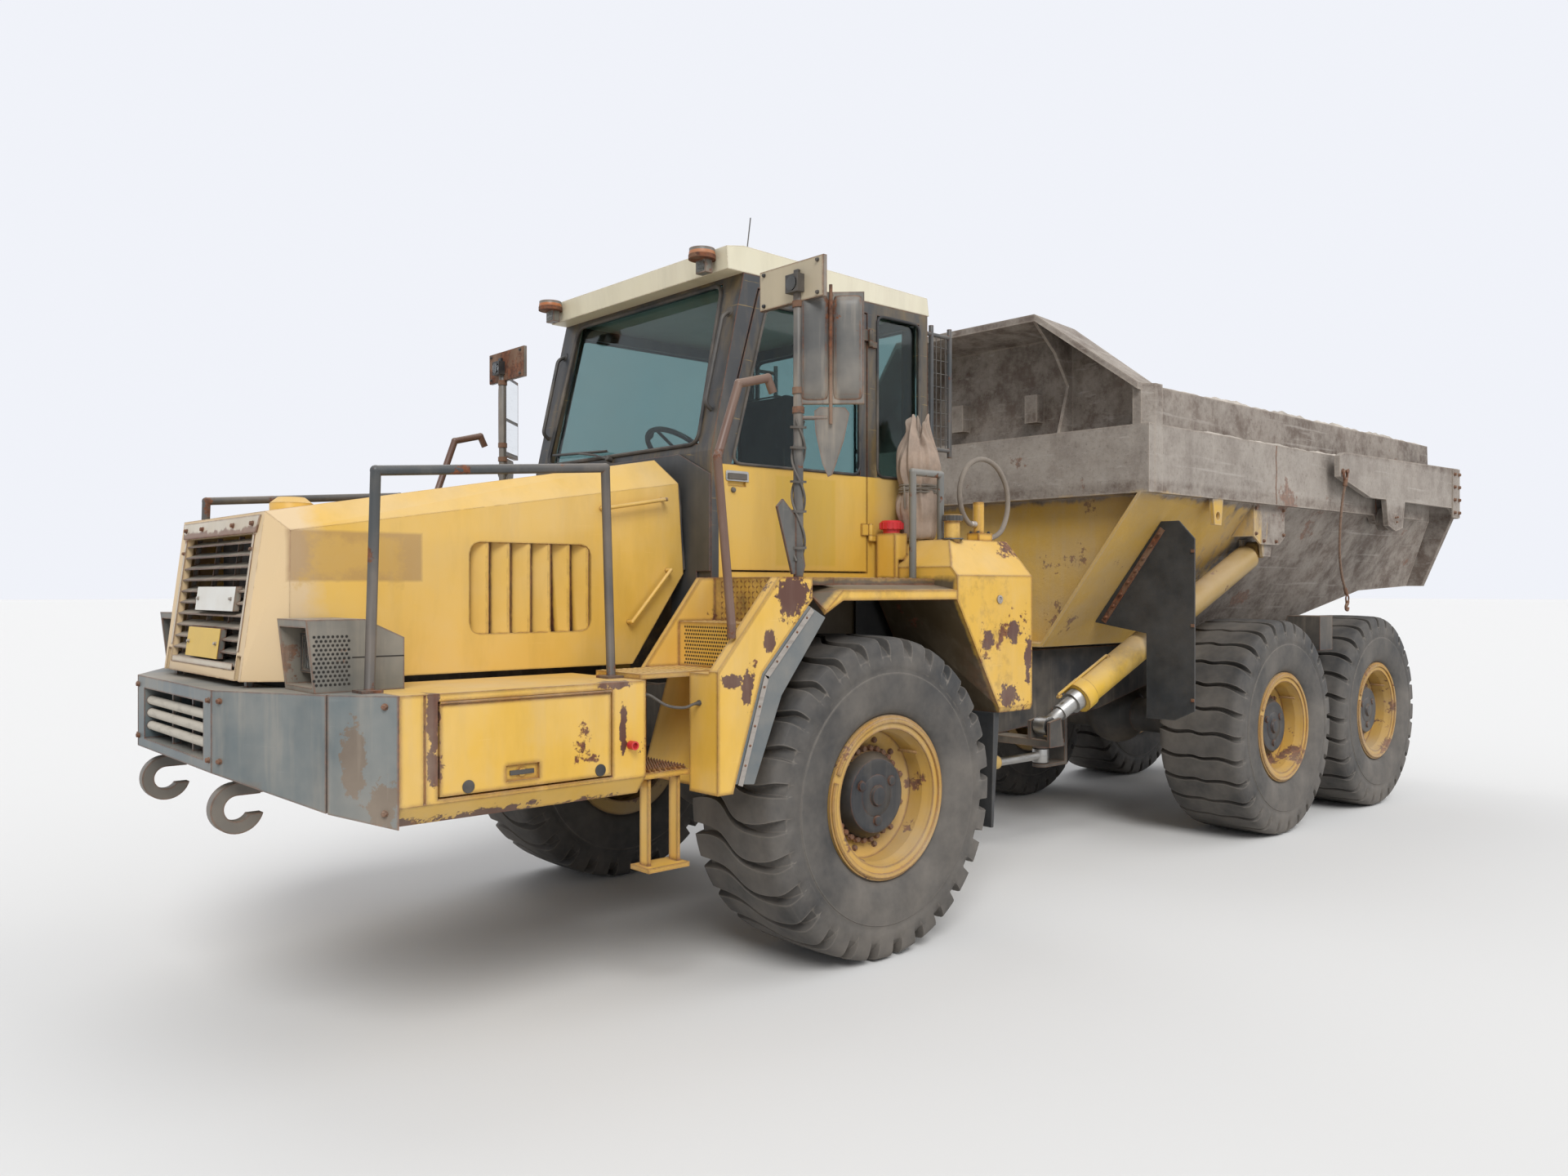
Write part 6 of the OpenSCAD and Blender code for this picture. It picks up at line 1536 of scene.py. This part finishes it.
mud = Work()
for sign in (1, -1):
    for x_front, x_back, y, z, wide, high, seed in ((-2.66, -7.28, 1.174, 3.0305, 0.026, 0.028, 1.0),
            (-2.64, -7.02, 1.2005, 2.7805, 0.054, 0.02, 5.0)):
        mud_ribbon(mud, spot(x_front, sign * y, z), spot(x_back, sign * y, z), Vector((0, sign * wide, 0)),
            high, seed + sign)
mud.done("hopper_mud", dry_mud, "dump_body", sharp=70, slot="worn_body_steel")

clamps, clamp_bolts = Work(), Work()
up_slope, off_slope = Vector((0, 0.581, 0.814)), Vector((0, 0.814, -0.581))
FLAP_X = -2.9128
foot = spot(FLAP_X, 0.628, 1.54)
near, far = off_slope * 0.012, off_slope * 0.052
clamps.plate([foot + near, foot + up_slope * 0.76 + near, foot + up_slope * 0.76 + far, foot + far], (0.006, 0, 0))
for k in range(8):
    clamp_bolts.bolt(foot + up_slope * (0.04 + 0.097 * k) + off_slope * 0.032 + Vector((0.006, 0, 0)), AHEAD, 0.018)
for z in (1.02, 1.5, 1.98):
    clamps.block((FLAP_X, 1.296, z), (-2.906, 1.318, z + 0.02))
clamps.both_sides().done("flap_clamps", rusty_iron, "dump_body")
for x, z in ((-4.42, 2.14), (-4.42, 2.32), (-4.3, 2.09), (-4.11, 2.09), (-3.99, 2.14), (-3.99, 2.32)):
    clamp_bolts.bolt((x, 1.204, z), OUTWARD, 0.02)
for k in range(3):
    angle = 0.4 + turn(k, 3)
    clamp_bolts.bolt(spot(-6.11 + 0.026 * math.cos(angle), 1.3752, 2.32 + 0.026 * math.sin(angle)), OUTWARD, 0.013)
for x in (-4.2, -6.0):
    clamp_bolts.tube([spot(x + 0.004 * math.sin(31 * z), 1.2552, z)
        for z in (2.355 + 0.021 * k for k in range(21))], 0.004, 6)
clamp_bolts.both_sides().done("hopper_bolts", rusty_iron, "dump_body")
gate_bolts = Work()
for x in (-7.44, -7.55):
    for k in range(4):
        gate_bolts.bolt((x, 1.3823, 2.43 + 0.115 * k), OUTWARD, 0.026)
gate_bolts.lathe([
    (1.3705, 0), (1.3705, 0.024), (1.3785, 0.022), (1.3785, 0.011), (1.408, 0.011), (1.408, 0.019),
    (1.416, 0.017), (1.416, 0)], spot(-5.06, 0, 2.64), OUTWARD, 16)
gate_bolts.both_sides().done("gate_bolts", rusty_iron, "tailgate")
print("hopper: mud, clamps, bolts")

# %% [markdown]
# ## Ropes, hoses and cables
# The gate's safety ropes are three steel strands laid round each other, shackled above and
# hooked below. Four hydraulic hoses cross the steering hitch in a low arch; their end fittings ride on the two units.
# A thin black cable droops across each step well.

# %% Wire ropes
rope_steel = plain_metal("rope steel", (0.2, 0.13, 0.09), 0.7, 0.8, metallic=0.3)
ROPE_Y = 1.3923


def strands(form, path, radius, lay_length, count=3):
    """Strands that wind round a path like a laid rope."""
    along, normal = 0.0, (path[1] - path[0]).orthogonal().normalized()
    lines = [[] for _ in range(count)]
    for i, point in enumerate(path):
        ahead = (path[min(i + 1, len(path) - 1)] - path[max(i - 1, 0)]).normalized()
        normal = (normal - ahead * normal.dot(ahead)).normalized()
        across = ahead.cross(normal)
        if i:
            along += (point - path[i - 1]).length
        for k, line in enumerate(lines):
            angle = 2 * math.pi * (along / lay_length + k / count)
            line.append(point + radius * 0.5 * (math.cos(angle) * normal + math.sin(angle) * across))
    for line in lines:
        form.tube(line, radius * 0.52, 6)


for side, sign in SIDES:
    y = sign * ROPE_Y
    path = flowing([spot(x, y, z) for x, z in ((-5.06, 2.578), (-5.052, 2.54), (-5.000, 2.4), (-4.962, 2.2),
        (-4.955, 2.00), (-5.000, 1.83), (-5.08, 1.706))], 14)
    rope = Work()
    strands(rope, path, 0.01, 0.09)
    rope = rope.done("gate_rope_" + side, rope_steel, "gate_cable_" + side, slot="wire_rope")
    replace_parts(rope, "gate_cable_" + side)
    ends = Work()
    ends.tube(ring_of(spot(-5.06, y, 2.612), 0.032, 24), 0.0095, 8)
    ends.lathe([(0, 0), (0, 0.017), (0.05, 0.016), (0.056, 0.0105)], path[0], path[1] - path[0], 12)
    ends.tube(ring_of(spot(-5.092, y, 1.672), 0.026, 24), 0.006, 8)
    ends.lathe([(0, 0), (0, 0.014), (0.05, 0.0135), (0.056, 0.0105)], path[-1], path[-2] - path[-1], 12)
    hook = ((-5.094, 1.655), (-5.092, 1.634), (-5.072, 1.612), (-5.074, 1.588), (-5.1, 1.582), (-5.116, 1.602))
    ends.tube(flowing([spot(x, y, z) for x, z in hook]), lambda t: 0.015 - 0.008 * t, 10)
    ends = ends.done("rope_fittings_" + side, rusty_iron, "gate_cable_" + side)
    print("rope", side, round(length_of(path), 3), "m")

# %% Hoses over the hitch
for number, y in enumerate((-0.21, -0.13, 0.13, 0.21)):
    path = flowing([spot(x, y * wider, z) for x, wider, z in (
        (-0.62, 1, 1.235), (-0.7, 1, 1.235), (-0.95, 1.02, 1.262), (-1.4, 1.06, 1.272), (-1.85, 1.02, 1.25),
        (-2.23, 1, 1.215), (-2.32, 1, 1.215))], 10)
    hose = Work().tube(path, 0.015, 12).done(f"hitch_hose_{number}", hose_rubber, slot="rubber_sheet")
    for place, back, body in ((path[0], -1, "front_unit"), (path[-1], 1, "rear_unit")):
        form = Work().lathe([(0, 0), (0, 0.021), (0.012, 0.021), (0.014, 0.0185), (0.045, 0.0175), (0.048, 0.0155)],
            place, (back, 0, 0), 16)
        form.done(f"hitch_hose_{number}_{body}_end", bare_steel, body)
    hose.parent = None
    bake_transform(hose)
print("four hoses over the hitch")

# %% Cables at the steps, door plugs, pipes on the cylinders
BOX_SIDE = 1.2002

for side, sign in SIDES:
    path = flowing([spot(x, sign * y, z) for x, y, z in (
        (1.2897, 1.172, 1.315), (1.255, 1.174, 1.313), (1.185, 1.2, 1.268), (1.115, 1.222, 1.256),
        (1.07, 1.23, 1.268), (1.0385, 1.232, 1.272))], 8)
    cable = Work().tube(path, 0.006, 10).done("step_cable_" + side, hose_rubber, slot="rubber_sheet")
    ends = Work()
    for place, axis in ends_of(path):
        ends.lathe([(0, 0), (0, 0.012), (0.008, 0.012), (0.01, 0.009), (0.026, 0.0065)], place, axis, 12)
    ends = ends.done("step_cable_ends_" + side, black_plastic)

    bits = Work()
    for x in (2.071, 1.509):
        bits.lathe([(0, 0.024), (0.003, 0.024), (0.004, 0.018), (0.004, 0)], (x, sign * BOX_SIDE, 1.036),
            (0, sign, 0), 20)
    bits.block(spot(1.8, min(sign * 1.1885, sign * 1.196), 1.056), spot(1.9, max(sign * 1.1885, sign * 1.196), 1.074))
    bits.done("side_door_plugs_" + side, black_plastic, "side_door_" + side, bevel=0.001)
    stub = Work().lathe([(0, 0.018), (0.034, 0.018), (0.034, 0.012), (0.02, 0.011), (0.02, 0)],
        (1.366, sign * BOX_SIDE, 1.122), (0, sign, 0), 16)
    stub.done("drain_stub_" + side, red_plastic)

    foot, run = spot(-2.13, sign * 0.72, 0.88), Vector((-0.8631, sign * 0.15845, 0.4795))
    over = (Vector(UP) - run * run.z).normalized()
    pipe = Work()
    pipe.tube(rounded([foot + run * share + over * off
        for share, off in ((0.2, 0.085), (0.2, 0.108), (0.7, 0.108), (0.7, 0.085))], 0.02), 0.009, 10)
    for share in (0.2, 0.7):
        pipe.lathe([(0.088, 0), (0.088, 0.02), (0.1, 0.02), (0.1, 0.0)], foot + run * share, over, 6)
    pipe.done("hoist_pipe_" + side, tank_paint, "hoist_barrel_" + side, slot="yellow_paint")
print("cables, plugs and pipes in place")
